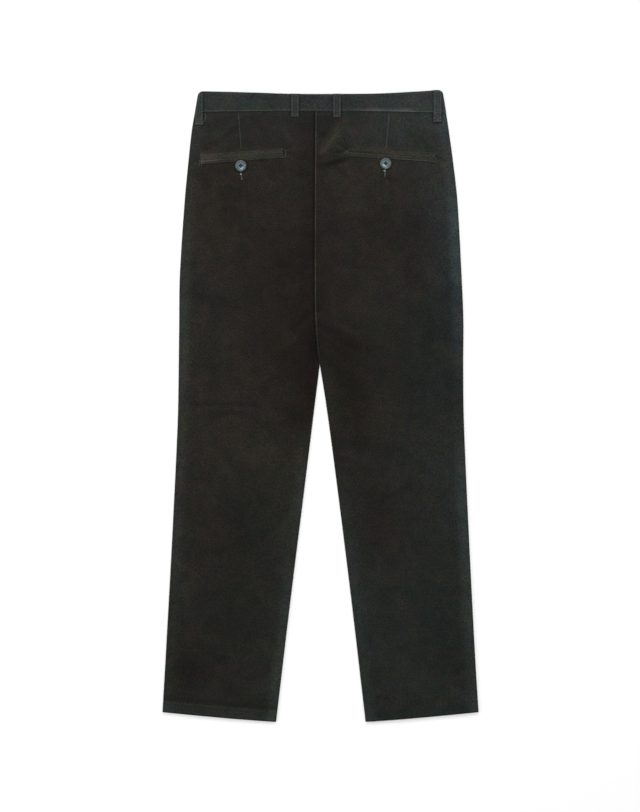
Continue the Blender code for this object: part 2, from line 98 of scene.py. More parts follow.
SIDES = make_table("up left right", [
    (0, -269.9, 269.8), (104.6, -263.8, 263.2), (308.6, -252.6, 252.6), (512.6, -242.9, 243.6),
    (607.8, -241.2, 242.5), (682, -240.4, 242.8), (757.4, -239.4, 239.8), (887, -231, 232.6),
    (955, -224.6, 225.1), (1006, -219, 218.1), (1039.6, -213.3, 213), (1074.4, -207.4, 207.4),
])
INSIDE_LEGS = make_table("up left right", [
    (0, -75.7, 76.5), (206.6, -51.2, 52.4), (410.6, -25.8, 26.9), (538, -10.1, 9.8),
    (589, -3.7, 1.8), (608, -1.5, -1.2),
])
SEAT_SEAM = make_table("up across", [
    (608, -1.35), (628, -4.9), (648.6, -6.8), (669, -8.3), (690, -9.6), (757, -10.3), (900, -10),
    (1040, -9.2),
])
WAIST = make_table("across seam top", [
    (-215, 1036.2, 1072.2), (-155, 1037, 1070.8), (-100, 1037.8, 1069.2), (-46, 1038.2, 1067.4),
    (76, 1037.8, 1067.6), (117, 1037, 1068.8), (171, 1035.8, 1071.9), (215, 1035, 1074.7),
])
DARTS = by_first(make_table("leg top_across point_across point_up", [
    ("left", -139.8, -135.0, 974.0), ("right", 116.2, 111.4, 974.0),
]))
POCKET_COLUMNS = "leg side side_low side_lip side_top inside inside_low inside_lip inside_top"
POCKETS = by_first(make_table(POCKET_COLUMNS, [
    ("left", -204, 947.6, 953.8, 964.6, -64, 959, 966, 974.8),
    ("right", 193.6, 951.7, 958.8, 967.9, 45.2, 961.4, 969, 974),
]))
BUTTONS = by_first(make_table("leg across up", [
    ("left", -135.4, 945.1), ("right", 110.5, 949),
]))
TAILS = by_first(make_table("leg tack_across tack_up end_across end_up", [
    ("left", -135.4, 930.8, -133.6, 921.5), ("right", 108.5, 936.8, 108.9, 926.6),
]))
# the way from each button's middle to its painted highlight
GLINTS = {"left": (0.36, -0.93), "right": (-0.66, -0.75)}
LOOPS = make_table("name leg across bottom below_top", [
    ("loop_side_left", "left", -206.7, 1014.5, 2.2), ("loop_centre_left", "left", -43.5, 1028.3, 0),
    ("loop_centre_right", "right", 27.9, 1027.5, 0), ("loop_side_right", "right", 198.6, 1019.5, 0),
])
# the line that the end of the left side loop presses into the cloth round it
LOOP_LINE = make_table("share across up", [
    (0, -196.8, 1034), (0.25, -195, 1028.5), (0.6, -200.4, 1016.6), (0.8, -206.4, 1012.4),
    (1, -212.5, 1011.2),
])

# The fly: each strip's node, half its width, the height of its top, its wall and its slot
FLY_BOTTOM = 872.0
FLY_TOP = 1018.0
TEETH_HEIGHT = 2.2
FLY_STRIPS = make_table("piece node half_width height wall slot", [
    ("zip_tape_strip", "fly_zip", 13.0, 2.4, 0.6, "zip_tape"),
    ("fly_shield_velvet", "fly_shield", 21.0, 3.7, 1.0, "velvet"),
])

# Flat size each piece was cut to, in metres
CUTS = by_first(make_table("piece width length area", [
    ("back", 0.290, 1.095, 0.246), ("front", 0.285, 1.080, 0.240),
    ("band_back", 0.436, 0.046, 0.0186), ("band_front", 0.222, 0.046, 0.0092),
]))

# ---------------------------------------------------------------- relief of the cloth

# Ridges (+) and troughs (-). bend is how far the middle bows to the left of the way it runs.
LARGE_FOLDS = make_table("from_across from_up to_across to_up width height bend", [
    (36, 1022, -2, 962, 22, 0.7, 0), (58, 1018, 40, 985, 22, -0.6, 0),
    (0, 940, 60, 925, 24, -0.5, 0), (96, 925, 72, 860, 26, 0.5, 0),
    (-120, 915, -88, 850, 26, 0.5, 0), (-226, 880, -196, 770, 30, 0.5, 0),
    (224, 830, 205, 700, 30, 0.4, 0), (-215, 535, -110, 533, 24, 0.4, 0),
    (-60, 560, -120, 470, 30, -0.4, 0), (60, 540, 140, 455, 30, 0.4, 0),
    (-232, 300, -215, 90, 26, 0.5, 0), (228, 260, 244, 60, 26, 0.4, 0),
])
CREASES = make_table("from_across from_up to_across to_up width height bend", [
    (40, 1018, 2, 963, 6, 0.8, 3), (24, 1024, 4, 990, 6, -0.55, 2),
    (-3, 941.5, 44, 951.5, 5, -0.28, 2), (2, 949, 42, 960, 4.6, 0.32, -2),
    (57, 955, 68, 928, 5, -0.32, 3), (49, 960, 45, 932, 6, 0.45, -2),
    (45, 970, 30, 980, 3.4, -0.5, 0), (45, 969, 27, 966, 3, -0.4, 1),
    (45, 971, 39, 985, 3, -0.4, -1), (-63, 968, -50, 975, 3.4, -0.4, 0),
    (-62, 964, -47, 960, 3.4, -0.35, 0), (-206, 955, -217, 950, 3.6, -0.35, 0),
    (196, 958, 211, 952, 4, -0.35, 0), (-138, 917, -142, 884, 4, -0.45, 1.5),
    (-131, 917, -124, 880, 4.6, -0.35, -2), (-134.5, 914, -133, 872, 4.4, 0.4, 1),
    (106, 927, 101, 894, 4, -0.4, -1.5), (113, 927, 119, 896, 4.4, -0.4, 2),
    (109.5, 925, 110, 880, 4.4, 0.35, 0), (-14, 700, -52, 664, 7, -0.5, 3),
    (-16, 682, -70, 630, 9, 0.45, 4), (-8, 640, -46, 604, 8, -0.4, 3),
    (2, 700, 60, 668, 8, -0.5, -4), (4, 672, 78, 628, 9, -0.55, -6),
    (20, 690, 66, 652, 8, 0.45, -4), (6, 636, 60, 590, 9, 0.4, -5),
    (-222, 712, -150, 700, 12, -0.35, 5), (-110, 760, -70, 640, 14, 0.35, 8),
    (150, 780, 190, 610, 16, -0.4, 8), (226, 660, 170, 590, 14, 0.35, 6),
    (-219, 537, -112, 535, 4.6, -0.45, 1.5), (-90, 545, -30, 500, 11, -0.35, 5),
    (40, 470, 130, 440, 12, -0.35, 5), (78, 440, 104, 390, 11, 0.4, 3),
    (-200, 470, -150, 395, 15, 0.35, 7), (150, 400, 215, 350, 15, -0.35, 6),
    (-150, 330, -90, 215, 15, -0.4, 9), (-80, 280, -140, 190, 13, 0.35, 6),
    (120, 300, 80, 180, 16, 0.35, -7), (170, 240, 205, 120, 14, -0.35, 6),
    (-240, 150, -170, 96, 13, -0.35, 5), (-200, 110, -140, 60, 12, 0.3, 4),
    (100, 130, 160, 70, 13, 0.3, 5), (-184, 988, -140, 1021, 6, 0.4, -2),
    (-196, 972, -146, 1002, 7, -0.45, -2), (-120, 1024, -92, 984, 7, -0.35, 2),
    (-70, 1022, -58, 985, 6, 0.35, 0), (104, 946, 92, 922, 5, 0.5, 1),
    (42, 948, 52, 920, 5, 0.45, -1), (2, 938, 40, 950, 5, -0.55, 2),
    (232, 1004, 190, 990, 8, -0.3, 2), (-214, 1000, -170, 1012, 8, -0.3, 2),
])
FOLDS = LARGE_FOLDS + CREASES

WAVE_COUNT = 14
WAVE_LENGTHS = (45.0, 170.0)
WAVE_SEEDS = {"left": 11, "right": 12, "band": 21}
PANEL_WAVES = 0.22
BAND_WAVES = 0.10
EDGE_CLEAR = 9.0  # how far from the panels' edges the creases fade out
PUCKER_LENGTH = 9.3
PUCKER_UNEVEN = 1.2
PUCKER_DRIFT = 23.0
PANEL_PUCKER = 0.13
PANEL_PUCKER_REACH = 6.0
BAND_PUCKER = 0.08
BAND_PUCKER_REACH = 5.0
DART_RISE = (-6.0, 20.0)  # where the ridge starts and is full, above the dart's point
HEM_STEP = (-1.6, 0.6)  # where the hem's step starts and ends, above its stitched line
POCKET_PRESSED = 3.0  # how far round a pocket the cloth lies flat

SEAT_RELIEF = make_marks((9, 5, 0.22), (0, 1.6, -0.35))
OPEN_SEAM_RELIEF = make_marks((12, 4, 0.25))
DART_RELIEF = make_marks((0, 2.4, 0.45), (-1.6, 0.9, -0.30))
HEM_LINE_RELIEF = make_marks((-0.6, 1.1, -0.16))
HEM_DIMPLES = make_marks((-0.6, 1.1, -0.22))
WAIST_RELIEF = make_marks((0, 2, -0.28))
POCKET_SWELL = make_marks((0, 9, 0.35))
POCKET_GROOVE = make_marks((1.3, 0.9, -0.12))
BAND_SEAM_RELIEF = make_marks((1.8, 0.9, -0.24))
BAND_TOP_RELIEF = make_marks((2, 1, -0.16))
BESIDE_LOOP_RELIEF = make_marks((0.6, 1.2, -0.25))
LOOP_ROW_RELIEF = make_marks((0.34, 0.06, -0.28))
LOOP_TACK_RELIEF = make_marks((0, 1.3, -0.30))
LOOP_SWELL = make_marks((2, 11, 0.35))

# ---------------------------------------------------------------- colours

# Linear colour of the velvet, and what each named tone multiplies it by
VELVET_COLOUR = (0.0143, 0.0134, 0.0109)
PRESSED_COLOUR = (0.0198, 0.0238, 0.0228)
WELT_COLOUR = (0.0240, 0.0254, 0.0190)
HORN_COLOUR = (0.078, 0.108, 0.116)
HIDDEN_SHADE = 0.6
TONES = {
    "brown": (1.12, 0.98, 0.90),
    "pink": (1.16, 0.98, 1.00),
    "maroon": (0.78, 0.66, 0.64),
    "dark_olive": (0.62, 0.60, 0.50),
    "dark_green": (0.60, 0.76, 0.66),
    "green": (1.02, 1.16, 1.08),
    "olive": (1.10, 1.16, 0.98),
    "teal": (0.92, 1.18, 1.30),
    "dark_teal": (0.70, 0.88, 0.98),
    "grey": (1.20, 1.28, 1.36),
    "light": (1.34, 1.30, 1.22),
    "pale_blue": (1.22, 1.50, 1.70),
    "cool": (0.98, 1.00, 1.22),
    "dark": (0.62, 0.58, 0.60),
}

# Soft patches where the pile lies another way; some are painted sheen and painted highlights on
# creases
PATCHES = make_table("across up half_width half_length turn tone strength", [
    (-167, 1002, 75, 37, 0, "grey", 0.9), (-72, 1002, 37, 34, 0, "grey", 0.45),
    (-179, 878, 68, 76, 0, "brown", 0.5), (-99, 861, 68, 94, 0, "brown", 0.4),
    (-22, 819, 17, 238, 0, "maroon", 0.9), (-55, 781, 37, 31, 0, "maroon", 0.7),
    (-58, 674, 61, 128, 0, "maroon", 0.9), (-31, 555, 29, 75, -8, "maroon", 1),
    (-17, 645, 20, 54, 0, "maroon", 0.7), (-14, 645, 8, 41, 0, "dark", 0.5),
    (-225, 717, 34, 323, -2, "grey", 0.35), (-221, 666, 31, 255, -2, "green", 0.3),
    (-162, 547, 58, 102, 0, "brown", 0.4), (-184, 419, 41, 68, 0, "brown", 0.35),
    (-89, 453, 58, 44, 0, "olive", 0.6), (-55, 411, 24, 85, -8, "olive", 0.5),
    (-119, 343, 51, 58, -15, "dark_green", 0.6), (-119, 300, 44, 27, 0, "dark_green", 0.15),
    (-196, 300, 58, 44, 0, "maroon", 0.3), (-150, 186, 51, 95, -10, "dark_green", 0.75),
    (-245, 224, 20, 102, -4, "green", 0.6), (-218, 249, 27, 51, 0, "light", 0.15),
    (-225, 751, 27, 31, 0, "dark", 0.25), (-55, 275, 24, 102, -8, "grey", 0.6),
    (-68, 207, 24, 187, -8, "teal", 0.35), (-208, 91, 37, 24, -30, "maroon", 0.75),
    (-153, 113, 61, 27, 0, "dark_green", 0.2), (-228, 84, 27, 58, -6, "dark", 0.45),
    (-250, 67, 20, 51, -4, "dark_green", 0.4), (-145, 54, 68, 24, 0, "dark_green", 0.35),
    (-196, 37, 102, 10, 0, "dark", 0.2), (-162, 47, 92, 27, 0, "teal", 0.16),
    (-99, 749, 26, 22, 0, "maroon", 0.5), (-63, 640, 15, 19, 0, "dark", 0.5),
    (-107, 985, 17, 14, 0, "dark", 0.45), (-68, 944, 17, 15, 0, "dark", 0.4),
    (-104, 48, 17, 12, 0, "grey", 0.45), (121, 1028, 15, 12, 0, "light", 0.95),
    (190, 1028, 22, 12, 0, "grey", 0.6), (68, 1006, 17, 12, 0, "dark", 0.45),
    (78, 966, 17, 8, 0, "light", 0.65), (143, 938, 58, 17, 3, "light", 0.6),
    (200, 905, 15, 17, 0, "light", 0.45), (24, 579, 17, 15, 0, "light", 0.6),
    (54, 657, 14, 17, 0, "maroon", 0.45), (98, 791, 15, 24, 0, "maroon", 0.5),
    (221, 373, 15, 17, 0, "grey", 0.6), (78, 290, 15, 17, 0, "light", 0.5),
    (121, 128, 17, 17, 0, "dark_teal", 0.55), (236, 47, 19, 14, 0, "grey", 0.7),
    (136, 1014, 109, 41, 0, "grey", 1), (110, 997, 102, 34, 0, "light", 0.35),
    (204, 1016, 24, 20, 0, "pale_blue", 0.5), (76, 989, 48, 27, 0, "light", 0.4),
    (153, 989, 44, 34, 0, "grey", 0.5), (211, 989, 20, 41, 12, "grey", 0.3),
    (25, 992, 14, 44, -35, "light", 0.7), (25, 992, 14, 41, -35, "green", 0.6),
    (13, 1009, 10, 20, -35, "dark", 0.35), (8, 968, 8, 8, 0, "light", 0.5),
    (30, 966, 7, 10, -30, "dark", 0.4), (46, 946, 7, 10, 0, "light", 0.45),
    (110, 1002, 88, 41, 0, "teal", 0.5), (110, 1016, 68, 24, 0, "grey", 0.35),
    (132, 929, 68, 41, 0, "light", 0.25), (177, 1000, 20, 27, 38, "dark", 0.3),
    (36, 1017, 8, 14, -20, "dark", 0.6), (17, 946, 24, 8, 18, "dark", 0.45),
    (211, 878, 37, 102, 5, "pale_blue", 0.68), (183, 853, 44, 78, 0, "cool", 0.5),
    (187, 938, 41, 68, 0, "grey", 0.35), (224, 785, 24, 85, 0, "pale_blue", 0.4),
    (51, 895, 48, 44, 0, "light", 0.45), (93, 849, 27, 15, 0, "maroon", 0.5),
    (153, 832, 44, 27, 0, "maroon", 0.45), (12, 768, 20, 136, 0, "maroon", 0.45),
    (85, 793, 75, 34, 0, "pink", 0.4), (161, 759, 41, 41, 0, "pink", 0.5),
    (47, 717, 31, 31, 0, "brown", 0.6), (204, 700, 44, 102, 0, "teal", 0.6),
    (204, 445, 85, 289, 0, "teal", 0.3), (170, 139, 153, 153, 0, "teal", 0.5),
    (178, 649, 44, 68, 0, "dark_teal", 0.35), (221, 666, 20, 75, 2, "dark_teal", 0.4),
    (42, 638, 37, 27, -20, "dark_olive", 0.85), (37, 608, 27, 34, 10, "dark_olive", 0.45),
    (54, 557, 32, 65, 8, "dark_olive", 1), (110, 598, 51, 68, 0, "dark_olive", 0.25),
    (187, 570, 37, 44, 0, "dark_teal", 0.7), (229, 547, 14, 85, 0, "dark_teal", 0.4),
    (68, 479, 20, 34, 8, "dark_olive", 0.4), (92, 377, 31, 75, 8, "dark", 0.5),
    (102, 326, 37, 41, 0, "maroon", 0.65), (170, 462, 41, 68, 0, "teal", 0.35),
    (224, 402, 27, 95, 3, "pale_blue", 0.4), (187, 377, 68, 153, 0, "teal", 0.12),
    (204, 317, 41, 44, 0, "dark_teal", 0.35), (58, 275, 31, 102, 7, "teal", 0.6),
    (83, 139, 27, 68, 7, "teal", 0.45), (136, 207, 51, 58, 0, "teal", 0.1),
    (161, 45, 94, 27, 0, "teal", 0.12), (212, 159, 41, 51, 0, "dark_teal", 0.75),
    (178, 190, 44, 27, 0, "dark_teal", 0.25), (217, 108, 34, 27, 0, "dark", 0.55),
    (153, 54, 102, 37, 0, "teal", 0.3), (136, 164, 44, 24, 0, "dark_teal", 0.25),
])

# Painted sheen (above 1) and painted shade (below 1) along the panels' edges, and the band's tone
# from end to end: a number of 1 leaves it as it is
SIDE_SHEEN = make_table("up left right", [
    (0, 1.45, 1.55), (60, 1.4, 1.6), (120, 1.25, 1.55), (206, 1.25, 1.75), (290, 1.45, 1.78),
    (376, 1.5, 1.85), (460, 1.5, 1.6), (545, 1.45, 1.25), (600, 1.75, 1.5), (716, 1.7, 1.85),
    (835, 1.7, 1.9), (912, 1.28, 1.85), (980, 1.28, 1.45), (1040, 1.6, 1.75),
])
INSIDE_SHEEN_AND_SHADE = make_table("up left right", [
    (0, 1.7, 1.35), (60, 1.75, 1.35), (120, 1.75, 1.3), (206, 1.5, 1.35), (290, 1.15, 1.35),
    (376, 1.55, 1.2), (460, 1.3, 0.9), (546, 0.75, 1.2), (640, 0.9, 1), (700, 1, 1), (1040, 1, 1),
])
BAND_TONES = make_table("across tone", [
    (-215, 1.12), (-198, 1.03), (-150, 1), (-100, 0.94), (-75, 0.85), (-40, 0.93), (10, 0.93),
    (70, 0.96), (130, 1.16), (190, 1.14), (205, 1.45), (215, 1.75),
])
LOOP_TONES = {
    "loop_side_left": 1.25,
    "loop_centre_left": 1.12,
    "loop_centre_right": 1.12,
    "loop_side_right": 1.50,
}
EDGE_SHEEN_TINT = (0.82, 1.12, 1.28)
SEAM_HIGHLIGHT_TINT = (1.02, 1.16, 0.92)
HEM_TINT = (0.91, 1.10, 1.15)
WAIST_TINT = (0.05, 0.12, 0.20)
EDGE_STRIP = (6.0, 26.0)  # where the strip along an edge starts and ends to fade
TOWARDS_WINDOW = (0.2, 0.6)
DART_FADE = (-4.0, 6.0)
HEM_FADE = (-3.0, 0.5)
SEAM_START = (-2.0, 26.0)  # above the legs' parting
UNDER_LIP = 2.0
# how strongly painted light and shade follow the creases' slopes, and painted sheen their crowns
FOLD_CONTRAST = 1.9
FOLD_CROWN_SHEEN = 0.22

# painted shade: a thin dark line right at each edge of the cloth
EDGE_SHADE = make_marks((0, 2, -0.25))
BUTTON_SHADE = make_marks((0.4, 1.6, -0.40))
LOOP_SHADE = make_marks((0, 2, -0.66))
# painted shade beside the seat seam, and a painted highlight on the right panel's raised edge along
# it
SEAT_SHADE = {"left": make_marks((1.8, 2.2, -0.52)), "right": make_marks((1.8, 2.2, -0.10))}
SEAT_HIGHLIGHT = {"left": (), "right": make_marks((1.3, 1, 1.85))}
SEAT_BRIGHTEST = make_marks((716, 46, 0.7))
# a painted highlight on the dart's ridge, and painted shade beside it
DART_TONE = make_marks((0, 1.4, 0.26), (-2.6, 1.4, -0.14))
HEM_TONES = by_first(make_table("leg light dark line_at", [
    ("left", 0.20, 0.20, -1.4), ("right", 0.0, 0.0, 1.8),
]))
# painted shade above the hem's step, a painted highlight along its stitched line, and painted shade
# at its folded lower edge with painted sheen just above it
ABOVE_HEM_SHADE = make_marks((5, 4, -1))
HEM_LINE_TONE = make_marks((0, 1.6, 0.20), (-3, 1.6, -0.08))
HEM_EDGE_TONE = make_marks((0, 1.7, -0.40), (4, 1.6, 0.14))
# painted shade under the band's edge, and a lighter, cooler strip below it
WAIST_SHADE = make_marks((0, 1.6, -0.10))
WAIST_GLOW = make_marks((6, 5, 1))
# painted light on a strip above the pocket, and painted shade round the rest of it
ABOVE_POCKET_LIGHT = make_marks((0, 5, 0.22))
POCKET_SHADE = make_marks((1.5, 1.8, -0.12))
# painted shade and painted sheen along the band's top, painted shade on its seam line with lighter
# cloth just above, and a lighter strip over part of its seam
BAND_TOP_TONE = make_marks((2.8, 1.2, 0.30), (0, 1, -0.25))
BAND_SEAM_TONE = make_marks((1.8, 1.8, 0.16), (0, 0.8, -0.12))
BAND_LIGHTER_STRIP = make_marks((2.4, 3.4, 0.85))
# where the painted light above the pocket, and the lighter strip on the band, start and end
POCKET_STRETCH = ((-0.03, 0.03), (0.97, 1.03))
LIGHTER_STRIP_STRETCH = ((20.0, 90.0), (146.0, 170.0))
BESIDE_LOOP_SHADE = make_marks((0.4, 1.3, -0.48))
# painted sheen along a loop's folded edges, and painted shade in its stitch grooves
LOOP_EDGE_TONE = make_marks((0.45, 0.05, 0.35))
LOOP_ROW_TONE = make_marks((0.34, 0.05, -0.25))
HORN_RING = make_marks((7, 0.6, -0.72))
HORN_DISH = make_marks((4.9, 1.4, 1))

# ---------------------------------------------------------------- finishes and stitches

CLOTH_STREAK = 0.7
CLOTH_BUMP = 0.35
CLOTH_SHEEN = 0.12
CLOTH_DARKNESS = 0.3  # of the speckle's colour, how much is light and dark
CLOTH_SHARP = 40.0
HORN_SHARP = 32.0
CLOTHS = make_table("slot name speckle roughness tint", [
    ("velvet", "velvet_pile", 3.6, 0.95, (0.62, 0.66, 0.58)),
    ("pressed_velvet", "velvet_pressed", 4.0, 0.85, (0.70, 0.76, 0.70)),
])
FINISHES = make_table("key name colour roughness mottle scale specular coat", [
    ("thread", "thread_green_grey", (0.088, 0.095, 0.080), 0.6, 0.3, 900.0, 0.3, 0.0),
    ("pale", "thread_pale", (0.36, 0.39, 0.37), 0.5, 0.3, 420.0, 0.5, 0.0),
    ("dark", "thread_dark", (0.024, 0.030, 0.034), 0.7, 0.2, 900.0, 0.15, 0.0),
    ("button", "horn_blue_grey", (1.0, 1.0, 1.0), 0.16, 0.22, 260.0, 0.2, 0.08),
    ("dull", "thread_dull", (0.060, 0.062, 0.047), 0.6, 0.4, 700.0, 0.3, 0.0),
    ("cord", "thread_cord", (0.115, 0.130, 0.120), 0.5, 0.6, 420.0, 0.5, 0.0),
    ("bright", "thread_light", (0.125, 0.130, 0.112), 0.5, 0.45, 700.0, 0.5, 0.0),
    ("zip_tape", "zip_tape_black", (0.012, 0.013, 0.012), 0.8, 0.3, 1200.0, 0.5, 0.0),
    ("metal", "zip_metal", (0.30, 0.24, 0.14), 0.35, 0.1, 500.0, 0.5, 0.0),
])

# pitch is from thread to thread. turn is each thread's angle to its path, and wander how far
# that angle strays, in degrees. lift is how far above the cloth the threads' middles lie.
HEM_PITCH = 6.5
STITCHES = by_first(make_table("kind thread pitch length thickness turn wander lift", [
    ("upper_welt", "dull", 3.1, 1.6, 0.50, 0.0, 3.0, 0.12),
    ("lower_welt", "dull", 3.1, 1.6, 0.55, 0.0, 3.0, 0.12),
    ("light_welt", "bright", 3.1, 1.7, 0.72, 0.0, 3.0, 0.12),
    ("pocket_tack", "bright", 2.5, 1.6, 0.75, 24.0, 22.0, 0.12),
    ("button_bars", "dark", 0.6, 5.2, 0.62, 90.0, 4.0, 0.0),
    ("button_shank", "dark", 0.35, 2.6, 2.6, 0.0, 0.0, 0.0),
    ("hole_edge", "cord", 0.75, 1.25, 0.48, 90.0, 14.0, 0.15),
    ("hole_tack", "pale", 0.45, 2.6, 0.62, 90.0, 3.0, 0.3),
    ("zip_teeth", "metal", 1.7, 4.2, 0.75, 90.0, 0.0, 0.0),
    ("loop_rows", "bright", 2.8, 1.9, 0.62, 0.0, 3.0, 0.05),
    ("side_tack", "thread", 0.8, 1.9, 0.45, 90.0, 16.0, 0.12),
    ("centre_tack", "dull", 0.8, 1.9, 0.45, 90.0, 16.0, 0.12),
    ("waist", "bright", 3.2, 1.8, 0.66, 0.0, 3.0, 0.06),
    ("dart", "bright", 3.1, 1.7, 0.52, 0.0, 3.0, 0.12),
    ("hem", "dull", HEM_PITCH, 1.3, 0.28, 0.0, 3.0, 0.05),
    ("pressed_line", "bright", 2.4, 1.8, 0.55, 0.0, 14.0, 0.1),
]))

# ---------------------------------------------------------------- rows and columns of the meshes

# Rows: the first few, then those of each (start, end, step), then the last few
BACK_ROWS = (
    (0.0, 0.12, 0.35, 0.7, 1.1, 1.7),
    (
        (2.6, 14.0, 2.3), (14.0, 20.5, 0.9), (20.5, 940.0, 3.5), (940.0, 980.0, 1.0),
        (980.0, 1024.0, 3.0), (1024.0, 1034.0, 1.6),
    ),
    (1034.0, 1034.7, 1035.2, 1035.6, 1035.85, SEAM_LEVEL),
)
FRONT_ROWS = (
    (0.0, 0.15, 0.4, 0.8, 1.4),
    ((2.6, 20.0, 2.4), (20.0, 1020.0, 8.0), (1020.0, 1034.0, 3.0)),
    (1034.4, 1035.2, 1035.7, SEAM_LEVEL),
)
FLY_ROWS = (
    (FLY_BOTTOM, FLY_BOTTOM + 0.1, FLY_BOTTOM + 0.3, FLY_BOTTOM + 0.6),
    ((FLY_BOTTOM + 3.0, FLY_TOP - 3.0, 4.0),),
    (FLY_TOP - 0.6, FLY_TOP - 0.3, FLY_TOP - 0.1, FLY_TOP),
)
ROLL_STEPS = 9
SIDE_CLOSER = 1.15  # how much closer the columns lie near the side
DART_REACH = 4.2
SEAM_FINE = 9.0
PANEL_RIM = (0.0, 0.0008, 0.002, 0.004, 0.008, 0.016)
PANEL_INNER = (0.03, 0.97)
WELT_RIM = (0.0, 0.0012, 0.003, 0.006, 0.01)
WELT_INNER = (0.016, 0.984)
FLY_RIM = (0.0, 0.004, 0.012, 0.025)
FLY_INNER = (0.05, 0.95)
WELT_SHARES = (0.0, 0.02, 0.06, 0.12, 0.22, 0.36, 0.5, 0.64, 0.78, 0.88, 0.94, 0.98, 1.0)
LOOP_RIM = (0.0, 0.12, 0.32, 0.65, 1.1)
LOOP_SHARES = (-0.5, -0.492, -0.475, -0.45, -0.42, -0.38, -0.34, -0.3, -0.25, -0.16, -0.08, 0.0)
LOOP_ROW = 0.34
LOOP_TACK_UP = 1.6
LOOP_TACK_DOWN = 2.2
WAIST_ROW = 1.8  # above the waist seam
WAIST_ROW_END = 208.0
BESIDE_LOOP = 0.4
HEM_ROW = 0.6  # below the top of the turned-up hem
ON_LIPS = 0.15
UNDER_BUTTON = 2.0
CORD_HALF = 0.62
CORD_TAPER = 0.6
TACK_HALF = 1.1
BAR_HALF = 0.62
BAR_HEIGHT = 1.62
BAR_OVER = 0.25

# Rows of the waistband: a share of the way from its seam to its top, and a distance from there
BAND_ROWS = [(0.0, step) for step in (0.0, 0.14, 0.4, 0.8, 1.3, 1.9, 2.6, 3.3, 4.2)]
BAND_ROWS += [(share, 0.0) for share in np.linspace(0.18, 0.76, 11)]
BAND_ROWS += [
    (1.0, -step) for step in (6.8, 5.4, 4.2, 3.2, 2.4, 1.7, 1.15, 0.7, 0.35, 0.12, 0.0)
]

# Half sections of the button and of the drill that cuts its holes: radius and height
HORN_PROFILE = (
    (0.0, 0.35), (3.0, 0.3), (6.5, 0.0), (8.2, 0.05), (9.0, 0.3), (9.45, 0.7), (9.66, 1.2),
    (BUTTON_RADIUS, 1.6), (9.6, 2.05), (9.35, 2.42), (8.95, 2.66), (8.45, 2.74), (7.95, 2.68),
    (7.6, 2.5), (7.35, 2.42), (7.05, 2.44), (6.7, 2.52), (6.3, 2.5), (5.85, 2.3),
    (5.4, 2.0), (4.95, 1.72), (4.45, 1.56), (3.8, 1.5), (0.0, 1.5),
)
DRILL_PROFILE = ((0.0, -1.0), (1.15, -1.0), (1.15, 1.32), (1.5, 1.62), (1.5, 4.0), (0.0, 4.0))
HOLE_DISTANCE = 2.45

# ---------------------------------------------------------------- curves through the tables


def read_table(table, column, at):
    """A smooth curve through one column of a table, read at values of its first column."""
    places = np.array([row[0] for row in table], float)
    values = np.array([getattr(row, column) for row in table], float)
    last = len(places) - 1
    before = np.maximum(np.arange(last + 1) - 1, 0)
    after = np.minimum(np.arange(last + 1) + 1, last)
    slopes = (values[after] - values[before]) / (places[after] - places[before])
    at = np.clip(np.asarray(at, float), places[0], places[-1])
    index = np.clip(np.searchsorted(places, at, side="left") - 1, 0, last - 1)
    step = places[index + 1] - places[index]
    t = (at - places[index]) / step
    return (
        values[index] * (2 * t**3 - 3 * t**2 + 1)
        + slopes[index] * step * (t**3 - 2 * t**2 + t)
        + values[index + 1] * (3 * t**2 - 2 * t**3)
        + slopes[index + 1] * step * (t**3 - t**2)
    )


def mix(start, end, share):
    """A share of the way from start to end."""
    return start + (end - start) * share


def smooth_step(low, high, value):
    """0 at low and 1 at high, with a soft rise between them."""
    share = np.clip((np.asarray(value, float) - low) / (high - low), 0.0, 1.0)
    return share * share * (3.0 - 2.0 * share)


def between(rising, falling, value):
    """It rises from 0 to 1 over one stretch and falls back over another."""
    return smooth_step(*rising, value) * (1.0 - smooth_step(*falling, value))


def bell(distance, reach):
    """1 at no distance, fading out over a reach."""
    return np.exp(-((distance / reach) ** 2))


def marks(distance, table):
    """The sum of a table's soft marks, at a distance from their line."""
    return sum(mark.amount * bell(distance - mark.at, mark.reach) for mark in table)


def as_grids(across, up):
    """Both as arrays of one common shape."""
    return np.broadcast_arrays(np.asarray(across, float), np.asarray(up, float))


def stack(across, up, height):
    """Points of three coordinates."""
    return np.stack(np.broadcast_arrays(across, up, height), axis=-1)


def spread(start, end, step):
    """Places from start to just before end, about step apart."""
    count = max(int(round(abs(end - start) / step)), 1)
    return list(start + (end - start) * np.arange(count) / count)


def rimmed(rim, low, high, count):
    """Shares from 0 to 1, close together at both rims."""
    rim = np.array(rim)
    return np.concatenate([rim, np.linspace(low, high, count), 1.0 - rim[::-1]])


def open_leg(up):
    """1 where the legs are apart and 0 where the seat seam joins them."""
    return 1.0 - smooth_step(PARTING, FORK, up)


def panel_edges(leg, up):
    """Where a back panel's side and its inside edge or seam lie."""
    side = read_table(SIDES, leg, up)
    seam = read_table(SEAT_SEAM, "across", up) - TOWARDS[leg] * SEAM_GAP / 2
    return side, np.where(up < PARTING, read_table(INSIDE_LEGS, leg, up), seam)


def hem_lift(share):
    """How high the hem lies, a share of the way from the side to the inside leg."""
    return HEM_TILT * (1.0 - share) ** HEM_CURVE + HEM_LOWEST


def row_level(station, share):
    """The level of a panel's row, which slopes with the hem there and is level at the waist."""
    return station + hem_lift(share) * (1.0 - station / SEAM_LEVEL) ** 3


def trim_to_seam(across, up):
    """Levels shifted so that the panel's last row follows the waist seam."""
    seam = read_table(WAIST, "seam", across) - SEAM_GAP
    return up + (seam - SEAM_LEVEL) * smooth_step(FORK, SEAM_LEVEL, up)


